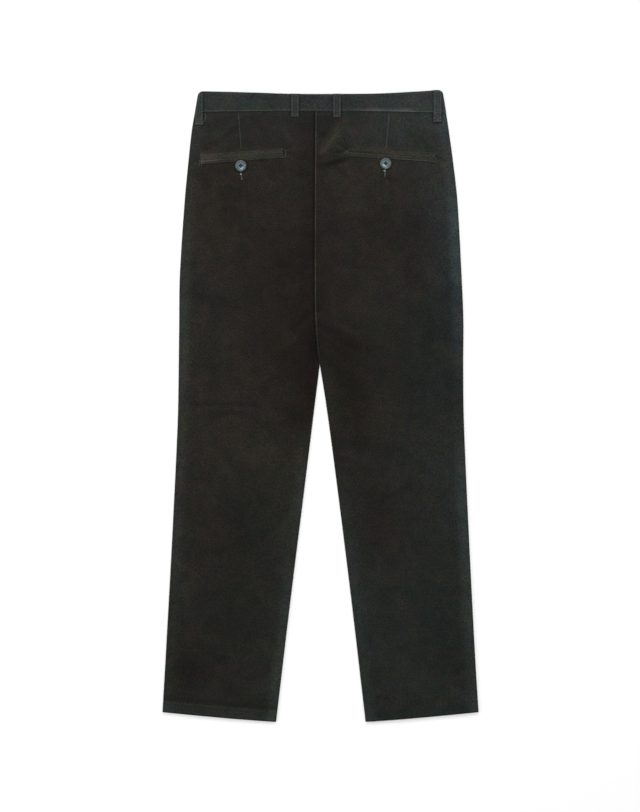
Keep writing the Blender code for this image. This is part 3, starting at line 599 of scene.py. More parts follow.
def dart_across(leg, up):
    """Where a leg's dart runs, and below its point a line that keeps its share of the panel."""
    dart = DARTS[leg]
    share = (up - dart.point_up) / (SEAM_LEVEL - dart.point_up)
    sewn = mix(dart.point_across, dart.top_across, share)
    point_side, point_inside = panel_edges(leg, dart.point_up)
    share = (dart.point_across - point_side) / (point_inside - point_side)
    return np.where(up >= dart.point_up, sewn, mix(*panel_edges(leg, up), share))


def pocket_line(pocket, edge, share):
    """The level of a pocket's low edge, lip or top, at a share of its width."""
    return mix(getattr(pocket, f"side_{edge}"), getattr(pocket, f"inside_{edge}"), share)


def pocket_share(pocket, across):
    """How far from its side end to its inside end a place on a pocket lies."""
    return (across - pocket.side) / (pocket.inside - pocket.side)


def distance_to_pocket(pocket, across, up):
    """How far outside a pocket's stitched box a place lies."""
    low_across, high_across = sorted((pocket.side, pocket.inside))
    share = pocket_share(pocket, across)
    bottom = pocket_line(pocket, "low", share)
    top = pocket_line(pocket, "top", share)
    beside = np.maximum(np.maximum(low_across - across, across - high_across), 0.0)
    beyond = np.maximum(np.maximum(bottom - up, up - top), 0.0)
    return np.hypot(beside, beyond)


def distance_beside_loop(loop, across):
    """How far beside a belt loop's edge a place lies."""
    return np.abs(across - loop.across) - LOOP_WIDTH / 2


def hem_distance(leg, across, up):
    """How far above the top of the turned-up hem a place lies."""
    side, inside = panel_edges(leg, up)
    share = np.clip((across - side) / (inside - side), 0.0, 1.0)
    return up - hem_lift(share) - HEM_DEPTH


def band_distances(across, up):
    """How far above the waist seam a place lies, and how far below the waistband's top."""
    return up - read_table(WAIST, "seam", across), read_table(WAIST, "top", across) - up


# ---------------------------------------------------------------- height of the cloth


def fold_height(across, up, folds=FOLDS):
    """How high the folds stand at a place, each a soft ridge or trough along a bowed line."""
    total = np.zeros(np.broadcast(across, up).shape)
    for fold in folds:
        run = fold.to_across - fold.from_across
        rise = fold.to_up - fold.from_up
        length = math.hypot(run, rise)
        along = ((across - fold.from_across) * run + (up - fold.from_up) * rise) / length**2
        share = np.clip(along, 0.0, 1.0)
        beyond = (along - share) * length
        beside = ((up - fold.from_up) * run - (across - fold.from_across) * rise) / length
        beside = beside - fold.bend * 4.0 * share * (1.0 - share)
        total += fold.height * bell(np.hypot(beside, beyond), fold.width)
    return total


def slow_waves(across, up, where, amplitude):
    """Soft uneven undulation of cloth that lies on cloth."""
    random = np.random.default_rng(WAVE_SEEDS[where])
    total = np.zeros(np.broadcast(across, up).shape)
    for _ in range(WAVE_COUNT):
        length = random.uniform(*WAVE_LENGTHS)
        angle = random.uniform(0.0, math.pi)
        phase = random.uniform(0.0, 2.0 * math.pi)
        along = across * math.cos(angle) + up * math.sin(angle)
        total += np.sin(along * 2.0 * math.pi / length + phase)
    return total * amplitude / math.sqrt(WAVE_COUNT)


def pucker(across):
    """The small rise and fall of cloth along a row of stitches that draws it in."""
    uneven = PUCKER_UNEVEN * np.sin(across / PUCKER_DRIFT)
    return np.sin(across * 2.0 * math.pi / PUCKER_LENGTH + uneven)


def hem_rise(leg, across, up):
    """How much the turned-up hem lifts the cloth."""
    return HEM_RISE * (1.0 - smooth_step(*HEM_STEP, hem_distance(leg, across, up)))


def cloth_height(leg, across, up):
    """Height of the outer face of a back panel."""
    across, up = as_grids(across, up)
    side, inside = panel_edges(leg, up)
    from_side = np.abs(across - side)
    from_inside = np.abs(across - inside)
    opened = open_leg(up)
    shut = 1.0 - opened
    near_side = np.exp(-from_side / CAMBER_REACH)
    near_inside = opened * np.exp(-from_inside / CAMBER_REACH)
    flat = (1.0 - near_side) * (1.0 - near_inside)
    clear = 1.0 - bell(from_side, EDGE_CLEAR)
    clear = clear * (1.0 - opened * bell(from_inside, EDGE_CLEAR))
    height = EDGE_HEIGHT + CAMBER * flat
    height += fold_height(across, up, LARGE_FOLDS) * flat
    height += fold_height(across, up, CREASES) * clear
    height += slow_waves(across, up, leg, PANEL_WAVES) * clear

    # the pressed seat seam, with its allowances pressed to both sides
    height += shut * SEAM_LIP[leg] * np.exp(-from_inside / SEAM_REACH)
    height += shut * marks(from_inside, SEAT_RELIEF)

    # the side and inside-leg seams, pressed open
    height += marks(from_side, OPEN_SEAM_RELIEF)
    height += opened * marks(from_inside, OPEN_SEAM_RELIEF)

    # the dart: a stitched ridge with a fine groove on it
    fade = smooth_step(*DART_RISE, up - DARTS[leg].point_up)
    height += fade * marks(across - dart_across(leg, up), DART_RELIEF)

    # the turned-up hem, and the dimples of its blind stitches
    above = hem_distance(leg, across, up)
    height += hem_rise(leg, across, up)
    dimples = 0.5 + 0.5 * np.cos(across * 2.0 * math.pi / HEM_PITCH)
    height += (marks(above, HEM_LINE_RELIEF) + dimples * marks(above, HEM_DIMPLES)) * clear

    # cloth drawn in along the waist seam and round the pocket
    below = read_table(WAIST, "seam", across) - up
    drawn_in = PANEL_PUCKER * pucker(across) + marks(below, WAIST_RELIEF)
    height += drawn_in * np.exp(-np.maximum(below, 0.0) / PANEL_PUCKER_REACH)
    outside = distance_to_pocket(POCKETS[leg], across, up)
    height += marks(np.maximum(outside - POCKET_PRESSED, 0.0), POCKET_SWELL)
    height += marks(outside, POCKET_GROOVE)
    return height


def roll_edge(height, lip, turned):
    """The outer face where cloth turns down over an edge, as insets and heights of its steps.

    turned is 1 for a quarter turn and 0 for flat cloth. The first step is at the edge.
    """
    radius = (height - lip)[:, None]
    turned = np.broadcast_to(turned, height.shape)[:, None]
    reach = radius * math.pi / 2
    flat = reach * (1.0 - turned)
    span = flat + radius * np.sin(turned * math.pi / 2)
    along = reach * (1.0 - np.arange(ROLL_STEPS + 1) / ROLL_STEPS)
    turn = np.maximum(along - flat, 0.0) / radius
    inset = span - np.minimum(along, flat) - radius * np.sin(turn)
    return inset, height[:, None] - radius * (1.0 - np.cos(turn))


# ---------------------------------------------------------------- colour of the cloth


def tinted(amount, tint):
    """A factor for each colour channel: 1, and an amount times a tint."""
    return 1.0 + np.asarray(amount)[..., None] * np.array(tint)


def pile_and_sheen_tone(across, up):
    """What the patches multiply the velvet's colour by: the pile lying other ways, with some
    painted sheen and painted crease highlights.
    """
    across, up = as_grids(across, up)
    total = np.ones(across.shape + (3,))
    for patch in PATCHES:
        turn = math.radians(patch.turn)
        wide = (across - patch.across) * math.cos(turn) + (up - patch.up) * math.sin(turn)
        long = (up - patch.up) * math.cos(turn) - (across - patch.across) * math.sin(turn)
        away = np.hypot(wide / patch.half_width, long / patch.half_length)
        total *= tinted(patch.strength * bell(away, 1.0), np.array(TONES[patch.tone]) - 1.0)
    return total


def edge_sheen_and_shade(table, leg, up, distance):
    """Painted sheen or painted shade in a strip along an edge, and a thin painted dark line right
    at the edge.
    """
    near = 1.0 - smooth_step(*EDGE_STRIP, distance) + marks(distance, EDGE_SHADE)
    return tinted((read_table(table, leg, up) - 1.0) * near, EDGE_SHEEN_TINT)


def fold_light_and_shade(across, up):
    """Painted light and shade on each crease: lighter where it faces the window, darker behind it,
    with painted sheen on the creases' crowns.
    """
    aside, ahead = TOWARDS_WINDOW
    slope = fold_height(across - aside, up - ahead) - fold_height(across + aside, up + ahead)
    return np.exp(FOLD_CONTRAST * slope + FOLD_CROWN_SHEEN * fold_height(across, up, CREASES))


def button_shade(leg, across, up):
    """The dark ring that a button casts on the cloth round it."""
    button = BUTTONS[leg]
    away = np.hypot(across - button.across, up - button.up) - BUTTON_RADIUS
    return 1.0 + marks(away, BUTTON_SHADE)


def loop_shade(across, up):
    """The dark line that the belt loops' ends cast on the cloth beside and below them."""
    tone = np.ones(np.broadcast(across, up).shape)
    for loop in LOOPS:
        beside = np.maximum(distance_beside_loop(loop, across), 0.0)
        below = np.maximum(loop.bottom - up, 0.0)
        tone = tone * (1.0 + marks(np.hypot(beside, below), LOOP_SHADE))
    return tone


def panel_colour(leg, across, up):
    """Linear colour of a back panel at each of its places."""
    side, inside = panel_edges(leg, up)
    from_side = np.abs(across - side)
    from_inside = np.abs(across - inside)
    # painted sheen along the side and inside edges, painted shade where the legs lie close
    # together, and a thin painted dark line at each edge
    edges = edge_sheen_and_shade(SIDE_SHEEN, leg, up, from_side)
    edges = edges * edge_sheen_and_shade(INSIDE_SHEEN_AND_SHADE, leg, up, from_inside)

    # the seat seam: painted shade on one side, and a painted highlight on the other
    shut = smooth_step(*SEAM_START, up - PARTING)
    tone = 1.0 + shut * marks(from_inside, SEAT_SHADE[leg])
    lit = marks(from_inside, SEAT_HIGHLIGHT[leg]) * (1.0 + marks(up, SEAT_BRIGHTEST))
    seam_highlight = tinted(shut * lit, SEAM_HIGHLIGHT_TINT)

    # a painted highlight on the dart's ridge, and painted shade beside it
    fade = smooth_step(*DART_FADE, up - DARTS[leg].point_up)
    tone *= 1.0 + fade * marks(across - dart_across(leg, up), DART_TONE)

    # the turned-up hem, lighter on the left leg, with painted shade above its step, a painted
    # highlight along its stitched line, and painted shade at its folded lower edge with painted
    # sheen just above it
    above = hem_distance(leg, across, up)
    turned_up = 1.0 - smooth_step(*HEM_FADE, above)
    hem = HEM_TONES[leg]
    tone *= 1.0 + hem.light * turned_up + hem.dark * marks(above, ABOVE_HEM_SHADE)
    tone *= 1.0 + marks(above - hem.line_at, HEM_LINE_TONE)
    tone *= 1.0 + marks(above + HEM_DEPTH, HEM_EDGE_TONE)
    edges = edges * tinted(turned_up, np.array(HEM_TINT) - 1.0)

    # painted shade under the band's edge, and a lighter, cooler strip below it
    below = read_table(WAIST, "seam", across) - up
    tone *= 1.0 + marks(below, WAIST_SHADE)
    edges = edges * tinted(marks(below, WAIST_GLOW), WAIST_TINT)

    # painted light on a strip above the pocket, and painted shade round the rest of it
    pocket = POCKETS[leg]
    share = pocket_share(pocket, across)
    top = pocket_line(pocket, "top", share)
    within = between(*POCKET_STRETCH, share)
    rising = np.maximum(up - top, 0.0)
    tone *= 1.0 + within * (up > top - UNDER_LIP) * marks(rising, ABOVE_POCKET_LIGHT)
    outside = distance_to_pocket(pocket, across, up)
    tone *= 1.0 + (up < top) * marks(outside, POCKET_SHADE)
    # painted light and shade on the creases, and the painted shadows of the button and the loops
    tone = tone * fold_light_and_shade(across, up) * button_shade(leg, across, up) * loop_shade(across, up)
    return np.array(VELVET_COLOUR) * pile_and_sheen_tone(across, up) * edges * seam_highlight * tone[..., None]


# ---------------------------------------------------------------- making meshes


def place(points):
    """Millimetres (across, up, height) into metres of the frame."""
    return (np.asarray(points, float) - np.array([0.0, TOP / 2, 0.0])) * MM


def add_object(name, data):
    """A new object in the scene."""
    thing = bpy.data.objects.new(name, data)
    bpy.context.scene.collection.objects.link(thing)
    return thing


def new_piece(name, mesh, node=None):
    """Give the frame a finished mesh, in place of its node where it has one."""
    piece = add_object(name, mesh)
    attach(piece, "root")
    if node:
        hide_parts(node)
    return piece


def dress(mesh, slot, colours, smooth_angle):
    """A mesh's finish, its shading, and the linear colour of each of its points."""
    mesh.materials.clear()
    mesh.materials.append(FINISH[slot])
    mesh.shade_smooth()
    mesh.set_sharp_from_angle(angle=math.radians(smooth_angle))
    layer = mesh.color_attributes.new("colour_with_painted_light", "FLOAT_COLOR", "POINT")
    values = np.ones((len(mesh.vertices), 4), np.float32)
    values[:, :3] = colours
    layer.data.foreach_set("color", values.ravel())


def made_by_modifiers(thing, name):
    """The plain mesh that an object's modifiers make."""
    view = bpy.context.evaluated_depsgraph_get()
    mesh = bpy.data.meshes.new_from_object(thing.evaluated_get(view), depsgraph=view)
    mesh.name = name
    return mesh


def steps_from(points, axis):
    """Distance along a grid from its first row or column."""
    moved = np.diff(points, axis=axis)
    lengths = np.linalg.norm(moved, axis=2)
    total = np.cumsum(lengths, axis=axis)
    start = np.zeros_like(np.take(total, [0], axis=axis))
    return np.concatenate([start, total], axis=axis)


def cloth_shell(name, face, wall, colour, slot, node=None, soft=0.9, lowest=None):
    """A wall of cloth under a grid of points, closed and rounded all round its rim.

    face holds the outer points, row by row upwards and column by column across. wall is the
    thickness. soft is how much of half the wall the rim is rounded by.
    """
    wall = np.broadcast_to(wall, face.shape[:2])[..., None]
    if face[0, -1, 0] < face[0, 0, 0]:
        face, wall, colour = face[:, ::-1], wall[:, ::-1], colour[:, ::-1]
    normals = np.cross(np.gradient(face, axis=1), np.gradient(face, axis=0))
    normals /= np.maximum(np.linalg.norm(normals, axis=2, keepdims=True), 1e-12)
    back = face - normals * wall

    across = steps_from(face, 1)
    upward = steps_from(face, 0)
    to_rim = np.minimum(across, across[:, -1:] - across)
    to_rim = np.minimum(to_rim, np.minimum(upward, upward[-1:] - upward))[..., None]
    half = wall * 0.5 * soft
    drop = half * (1.0 - np.sqrt(1.0 - (1.0 - np.clip(to_rim / half, 0.0, 1.0)) ** 2))
    outer = face - normals * drop
    inner = back + normals * drop
    if lowest is not None:
        inner[..., 2] = np.maximum(inner[..., 2], lowest)

    rows, columns = face.shape[:2]
    index = np.arange(rows * columns).reshape(rows, columns)
    corners = [index[:-1, :-1], index[:-1, 1:], index[1:, 1:], index[1:, :-1]]
    quads = np.stack(corners, axis=-1).reshape(-1, 4)
    under = quads[:, ::-1] + rows * columns
    rim = np.concatenate([index[0, :], index[1:, -1], index[-1, -2::-1], index[-2:0:-1, 0]])
    ahead = np.roll(rim, -1)
    joined = np.stack([ahead, rim, rim + rows * columns, ahead + rows * columns], axis=-1)
    vertices = place(np.concatenate([outer.reshape(-1, 3), inner.reshape(-1, 3)]))
    faces = np.concatenate([quads, under, joined])
    mesh = bpy.data.meshes.new(name)
    mesh.from_pydata(vertices.tolist(), [], faces.tolist())
    dress(mesh, slot, np.concatenate([colour.reshape(-1, 3)] * 2), CLOTH_SHARP)
    return new_piece(name, mesh, node)


# ---------------------------------------------------------------- finishes


def fill(tree, node, inputs):
    """Give a node's inputs their values, or link them to other nodes' outputs."""
    for name, value in inputs.items():
        if isinstance(value, bpy.types.NodeSocket):
            tree.links.new(value, node.inputs[name])
        else:
            node.inputs[name].default_value = value


def add_node(tree, kind, inputs, **settings):
    """A new node's outputs."""
    node = tree.nodes.new(kind)
    for name, value in settings.items():
        setattr(node, name, value)
    fill(tree, node, inputs)
    return node.outputs


def new_material(name):
    """A new material, its node tree and its main shader."""
    material = bpy.data.materials.new(name)
    material.use_nodes = True
    tree = material.node_tree
    return material, tree, tree.nodes["Principled BSDF"]


def noise(tree, scale, detail, roughness=0.5, distortion=0.0):
    """A noise texture's outputs."""
    where = add_node(tree, "ShaderNodeTexCoord", {})["Object"]
    return add_node(tree, "ShaderNodeTexNoise", {
        "Vector": where, "Scale": scale, "Detail": detail, "Roughness": roughness,
        "Distortion": distortion,
    })


def bump(tree, height, strength, distance):
    """A normal that follows a height."""
    return add_node(tree, "ShaderNodeBump", {
        "Strength": strength, "Distance": distance, "Height": height,
    })["Normal"]


def times(tree, one, other):
    """The product of two colours."""
    product = {0: one, 1: other}
    return add_node(tree, "ShaderNodeVectorMath", product, operation="MULTIPLY")["Vector"]


def around_one(tree, source, amount):
    """(noise - 0.5) * amount + 1 on each colour channel."""
    scaled = {0: source, 1: (amount,) * 3, 2: (1.0 - amount / 2,) * 3}
    return add_node(tree, "ShaderNodeVectorMath", scaled, operation="MULTIPLY_ADD")["Vector"]


def stored_colour(tree):
    """The linear colour that dress stored at each point."""
    return add_node(tree, "ShaderNodeAttribute", {}, attribute_name="colour_with_painted_light")["Color"]


def cloth_material(cloth):
    """Velvet: the piece's own stored colour, with the light and shade painted into it, and a fine
    uneven pile, soft streaks and sheen.
    """
    material, tree, shader = new_material(cloth.name)
    pile = noise(tree, scale=640.0, detail=1.5, roughness=0.6)
    brushed = noise(tree, scale=30.0, detail=2.0, distortion=0.8)
    pattern = times(
        tree,
        around_one(tree, pile["Color"], cloth.speckle),
        around_one(tree, pile["Fac"], cloth.speckle * CLOTH_DARKNESS),
    )
    pattern = times(tree, pattern, around_one(tree, brushed["Fac"], CLOTH_STREAK))
    pattern = times(tree, pattern, around_one(tree, brushed["Color"], CLOTH_STREAK * 0.5))
    fill(tree, shader, {
        "Base Color": times(tree, stored_colour(tree), pattern),
        "Roughness": cloth.roughness,
        "Specular IOR Level": 0.12,
        "Sheen Weight": CLOTH_SHEEN,
        "Sheen Roughness": 0.45,
        "Sheen Tint": (*cloth.tint, 1.0),
        "Normal": bump(tree, pile["Fac"], strength=CLOTH_BUMP, distance=0.0004),
    })
    return material


def plain_material(finish):
    """A finish with a soft mottle. The button's is multiplied by its stored colour too."""
    material, tree, shader = new_material(finish.name)
    mottled = noise(tree, scale=finish.scale, detail=3.0, distortion=0.8)["Fac"]
    ramp = tree.nodes.new("ShaderNodeValToRGB")
    fill(tree, ramp, {"Fac": mottled})
    factors = (1.0 - finish.mottle, 1.0 + finish.mottle)
    for stop, position, factor in zip(ramp.color_ramp.elements, (0.36, 0.64), factors):
        stop.position = position
        stop.color = (*[channel * factor for channel in finish.colour], 1.0)
    shade = ramp.outputs["Color"]
    if finish.key == "button":
        shade = times(tree, shade, stored_colour(tree))
    fill(tree, shader, {
        "Base Color": shade,
        "Roughness": finish.roughness,
        "Specular IOR Level": finish.specular,
        "Coat Weight": finish.coat,
        "Coat Roughness": 0.12,
        "Normal": bump(tree, mottled, strength=0.15, distance=0.0001),
    })
    return material


# ---------------------------------------------------------------- stitches


def stitch_tree():
    """Geometry Nodes: one short thread after another along a path.

    Turn lays each thread at an angle to the path, so that the same tree makes running
    stitches, bar tacks and the edges of buttonholes.
    """
    tree = bpy.data.node_groups.new("stitch_row", "GeometryNodeTree")
    numbers = ("Pitch", "Length", "Thickness", "Turn", "Wander")
    sockets = [("Path", "INPUT", "Geometry")] + [(name, "INPUT", "Float") for name in numbers]
    sockets += [("Thread", "INPUT", "Material"), ("Stitches", "OUTPUT", "Geometry")]
    for name, way, kind in sockets:
        tree.interface.new_socket(name, in_out=way, socket_type=f"NodeSocket{kind}")

    def add(kind, inputs, **settings):
        return add_node(tree, kind, inputs, **settings)

    given = add("NodeGroupInput", {})
    line = add("GeometryNodeMeshToCurve", {"Mesh": given["Path"]})["Curve"]
    spacing = {"Curve": line, "Length": given["Pitch"]}
    spaced = add("GeometryNodeResampleCurve", spacing, mode="LENGTH")["Curve"]

    bead = {"Segments": 6, "Rings": 5, "Radius": 0.5}
    thread = add("GeometryNodeMeshUVSphere", bead)["Mesh"]
    thickness = given["Thickness"]
    sizes = {"X": thickness, "Y": thickness, "Z": given["Length"]}
    size = add("ShaderNodeCombineXYZ", sizes)["Vector"]
    laid = add("GeometryNodeTransform", {"Geometry": thread, "Scale": size})["Geometry"]

    tangent = add("GeometryNodeInputTangent", {})["Tangent"]
    aligned = add("FunctionNodeAlignRotationToVector", {"Vector": tangent}, axis="Z")
    low = add("ShaderNodeMath", {0: given["Wander"], 1: -1.0}, operation="MULTIPLY")[0]
    limits = {2: low, 3: given["Wander"], "Seed": 5}
    chance = add("FunctionNodeRandomValue", limits, data_type="FLOAT")[1]
    angle = add("ShaderNodeMath", {0: given["Turn"], 1: chance}, operation="ADD")[0]
    turn = {"Axis": (0.0, 0.0, 1.0), "Angle": angle}
    turned = add("FunctionNodeAxisAngleToRotation", turn)["Rotation"]
    turns = {"Rotation": aligned["Rotation"], "Rotate By": turned}
    both = add("FunctionNodeRotateRotation", turns, rotation_space="GLOBAL")["Rotation"]

    rows = {"Points": spaced, "Instance": laid, "Rotation": both}
    sewn = add("GeometryNodeInstanceOnPoints", rows)["Instances"]
    real = add("GeometryNodeRealizeInstances", {"Geometry": sewn})["Geometry"]
    smooth = add("GeometryNodeSetShadeSmooth", {"Geometry": real})["Geometry"]
    finish = {"Geometry": smooth, "Material": given["Thread"]}
    finished = add("GeometryNodeSetMaterial", finish)["Geometry"]
    add("NodeGroupOutput", {"Stitches": finished})
    return tree


def sew(name, paths, kind):
    """Stitches along paths, each a list of (across, up, height), as one plain mesh."""
    stitch = STITCHES[kind]
    vertices = []
    edges = []
    for path in paths:
        first = len(vertices)
        vertices.extend(place(np.array(path, float) + (0.0, 0.0, stitch.lift)).tolist())
        edges.extend((first + step, first + step + 1) for step in range(len(path) - 1))
    mesh = bpy.data.meshes.new(f"{name}_path")
    mesh.from_pydata(vertices, edges, [])
    row = add_object(f"{name}_path", mesh)
    maker = row.modifiers.new("stitches", "NODES")
    maker.node_group = TREE
    given = {
        "Pitch": stitch.pitch * MM,
        "Length": stitch.length * MM,
        "Thickness": stitch.thickness * MM,
        "Turn": math.radians(stitch.turn),
        "Wander": math.radians(stitch.wander),
        "Thread": FINISH[stitch.thread],
    }
    for socket in TREE.interface.items_tree:
        if socket.in_out == "INPUT" and socket.name in given:
            maker[socket.identifier] = given[socket.name]
    made = made_by_modifiers(row, name)
    bpy.data.objects.remove(row, do_unlink=True)
    return new_piece(name, made)


def on_panel_at(leg, across, up):
    """Points on the outer face of a back panel."""
    return stack(across, up, cloth_height(leg, across, up))


# ---------------------------------------------------------------- panels


def all_rows(rows):
    """Levels of a mesh's rows: the first few, those of each (start, end, step), and the last."""
    first, stretches, last = rows
    inner = [level for stretch in stretches for level in spread(*stretch)]
    return np.array([*first, *inner, *last])


def back_panel(leg):
    """The upper layer, rolled down over its side and its inside leg."""
    towards = TOWARDS[leg]
    station = all_rows(BACK_ROWS)
    middle = row_level(station, 0.5)
    side, inside = [edge[:, None] for edge in panel_edges(leg, middle)]

    def settle(across):
        share = np.clip((across - side) / (inside - side), 0.0, 1.0)
        up = row_level(station[:, None], share)
        true_side, true_inside = panel_edges(leg, up)
        moved = (true_side - side) * (1.0 - share) + (true_inside - inside) * share
        return across + moved, up

    shoulder = EDGE_HEIGHT - PANEL_LIP
    side_top = cloth_height(leg, *settle(side + towards * shoulder))[:, 0]
    inside_top = cloth_height(leg, *settle(inside - towards * shoulder / 2))[:, 0]
    opened = open_leg(row_level(station, 1.0))
    side_inset, side_height = roll_edge(side_top, PANEL_LIP, 1.0)
    inside_inset, inside_height = roll_edge(inside_top, PANEL_LIP, opened)

    # columns: the rolled side, up to the dart, over it, on to the inside and the roll there
    start = side + towards * side_inset[:, -1:]
    end = inside - towards * inside_inset[:, -1:]
    dart = dart_across(leg, middle)[:, None]
    over_dart = dart + towards * DART_REACH
    near_end = end - towards * SEAM_FINE
    columns = [
        side + towards * side_inset,
        mix(start, dart - towards * DART_REACH, (np.arange(1, 26) / 26.0) ** SIDE_CLOSER),
        dart + towards * np.linspace(-DART_REACH, DART_REACH, 13)[None, :],
        mix(over_dart, near_end, np.arange(1, 31)[None, :] / 31.0),
        mix(near_end, end, np.arange(0, 9)[None, :] / 9.0),
        (inside - towards * inside_inset)[:, ::-1],
    ]
    across, up = settle(np.concatenate(columns, axis=1))
    height = cloth_height(leg, across, up)
    rolled = side_inset.shape[1]
    height[:, :rolled] = side_height
    height[:, -rolled:] = inside_height[:, ::-1]
    face = stack(across, trim_to_seam(across, up), height)
    return cloth_shell(
        f"back_{leg}_velvet", face, VELVET + hem_rise(leg, across, up),
        panel_colour(leg, across, up), "velvet", node=f"back_{leg}", lowest=PANEL_LIP,
    )


def seam_allowance():
    """The seat seam's allowances, a strip close under the two back panels."""
    half_width, wall, gap, apart = 6.0, 0.2, 0.12, 0.2
    start, last, step = PARTING + 1.5, SEAM_LEVEL - 3.0, 6.0
    up = np.array(spread(start, last, step) + [last])[:, None]
    seam = read_table(SEAT_SEAM, "across", up)
    across = seam + np.linspace(-half_width, half_width, 13)[None, :]
    up = up * np.ones_like(across)
    under = np.minimum(
        cloth_height("left", np.minimum(across, seam - apart), up),
        cloth_height("right", np.maximum(across, seam + apart), up),
    )
    face = stack(across, trim_to_seam(across, up), under - VELVET - gap)
    colour = np.array(VELVET_COLOUR) * HIDDEN_SHADE * np.ones(face.shape)
    return cloth_shell("seat_seam_allowance", face, wall, colour, "velvet")


def front_dip(across, up):
    """How much lower the front's waist lies than the back's."""
    nearness = 0.5 + 0.5 * np.cos(math.pi * np.minimum(np.abs(across) / DIP_REACH, 1.0))
    return FRONT_DIP * nearness * smooth_step(FORK, SEAM_LEVEL, up)


def front_panel(leg):
    """The lower layer: flat on the floor, with its seams' rounded edges."""
    share = rimmed(PANEL_RIM, *PANEL_INNER, 34)[None, :]
    up = row_level(all_rows(FRONT_ROWS)[:, None], share)
    side, inside = panel_edges(leg, up)
    across = mix(side, inside, share)
    face = stack(across, trim_to_seam(across, up) - front_dip(across, up), VELVET)
    colour = np.array(VELVET_COLOUR) * pile_and_sheen_tone(across, up)
    colour = colour * edge_sheen_and_shade(SIDE_SHEEN, leg, up, np.abs(across - side))
    return cloth_shell(
        f"front_{leg}_velvet", face, VELVET, colour, "velvet", node=f"front_{leg}", lowest=0.0
    )


# ---------------------------------------------------------------- waistband


def band_edge(leg, up, top):
    """The end of the waistband, with its upper corner rounded."""
    into_corner = np.maximum(up - (top - BAND_CORNER), 0.0)
    inset = BAND_CORNER - np.sqrt(np.maximum(BAND_CORNER**2 - into_corner**2, 0.0))
    return read_table(SIDES, leg, up) + TOWARDS[leg] * inset


def band_height(across, up=None):
    """Height of the back waistband's outer face, with its pressed rows of topstitching."""
    across = np.asarray(across, float)
    camber = 1.0 - np.exp(-(HALF_WAIST - np.abs(across)) / CAMBER_REACH)
    height = BAND_EDGE_HEIGHT + BAND_CAMBER * camber
    if up is None:
        return height
    from_seam, from_top = band_distances(across, up)
    height = height + marks(from_seam, BAND_SEAM_RELIEF) + marks(from_top, BAND_TOP_RELIEF)
    height += slow_waves(across, up, "band", BAND_WAVES)
    drawn_in = BAND_PUCKER * pucker(across)
    height += drawn_in * np.exp(-np.maximum(from_seam, 0.0) / BAND_PUCKER_REACH)
    for loop in LOOPS:
        height += marks(distance_beside_loop(loop, across), BESIDE_LOOP_RELIEF)
    return height


def band_level(row, across):
    """The level of one of the band's rows."""
    share, offset = BAND_ROWS[row]
    seam = read_table(WAIST, "seam", across)
    return mix(seam, read_table(WAIST, "top", across), share) + offset


def band_levels(across):
    """The level of each of the band's rows, at one place or at a row of places each."""
    across = np.asarray(across, float)
    places = across if across.ndim else [across] * len(BAND_ROWS)
    return np.array([band_level(row, places[row]) for row in range(len(BAND_ROWS))])


def band_colour(across, up, edges=True):
    """The pressed velvet of the band: painted sheen and a thin painted dark line along its upper
    edge, and lighter at its side ends.
    """
    across, up = as_grids(across, up)
    tone = read_table(BAND_TONES, "tone", across)
    if edges:
        from_seam, from_top = band_distances(across, up)
        # painted shade and painted sheen along the top, painted shade on the seam line with lighter
        # cloth just above, a lighter strip over part of the seam, and painted shade beside the
        # loops
        tone = tone * (1.0 + marks(from_top, BAND_TOP_TONE))
        tone = tone * (1.0 + marks(from_seam, BAND_SEAM_TONE))
        tone = tone * (1.0 + between(*LIGHTER_STRIP_STRETCH, across) * marks(from_seam, BAND_LIGHTER_STRIP))
        for loop in LOOPS:
            tone = tone * (1.0 + marks(distance_beside_loop(loop, across), BESIDE_LOOP_SHADE))
    return np.array(PRESSED_COLOUR) * tone[..., None]


def waistband_back():
    """The band across the back, rolled over at both its ends."""
    low = band_levels(-HALF_WAIST)
    high = band_levels(HALF_WAIST)
    left = band_edge("left", low, low[-1])[:, None]
    right = band_edge("right", high, high[-1])[:, None]
    inset, roll = roll_edge(np.full(len(BAND_ROWS), BAND_EDGE_HEIGHT), BAND_LIP, 1.0)
    flat = mix(left + inset[:, -1:], right - inset[:, -1:], np.arange(1, 190)[None, :] / 190.0)
    across = np.concatenate([left + inset, flat, (right - inset)[:, ::-1]], axis=1)
    up = band_levels(across)
    height = band_height(across, up)
    rolled = inset.shape[1]
    height[:, :rolled] = roll
    height[:, -rolled:] = roll[:, ::-1]
    return cloth_shell(
        "waistband_back_velvet", stack(across, up, height), BAND_WALL, band_colour(across, up),
        "pressed_velvet", node="waistband_back", lowest=BAND_LIP,
    )


def waistband_front(leg):
    """A front half of the band, flat under the back one."""
    levels = band_levels(-HALF_WAIST * TOWARDS[leg])
    side = band_edge(leg, levels, levels[-1])[:, None]
    inside = float(panel_edges(leg, SEAM_LEVEL)[1])
    across = mix(side, inside, rimmed(PANEL_RIM, *PANEL_INNER, 40)[None, :])
    level = band_levels(across)
    face = stack(across, level - front_dip(across, SEAM_LEVEL), BAND_FRONT_WALL)
    return cloth_shell(
        f"waistband_front_{leg}_velvet", face, BAND_FRONT_WALL,
        band_colour(across, level, edges=False), "pressed_velvet",
        node=f"waistband_front_{leg}", lowest=0.0,
    )


# ---------------------------------------------------------------- belt loops


def band_end(leg, up):
    """The side end of the band or, lower down, of the panel."""
    return band_edge(leg, up, float(band_level(len(BAND_ROWS) - 1, -HALF_WAIST * TOWARDS[leg])))


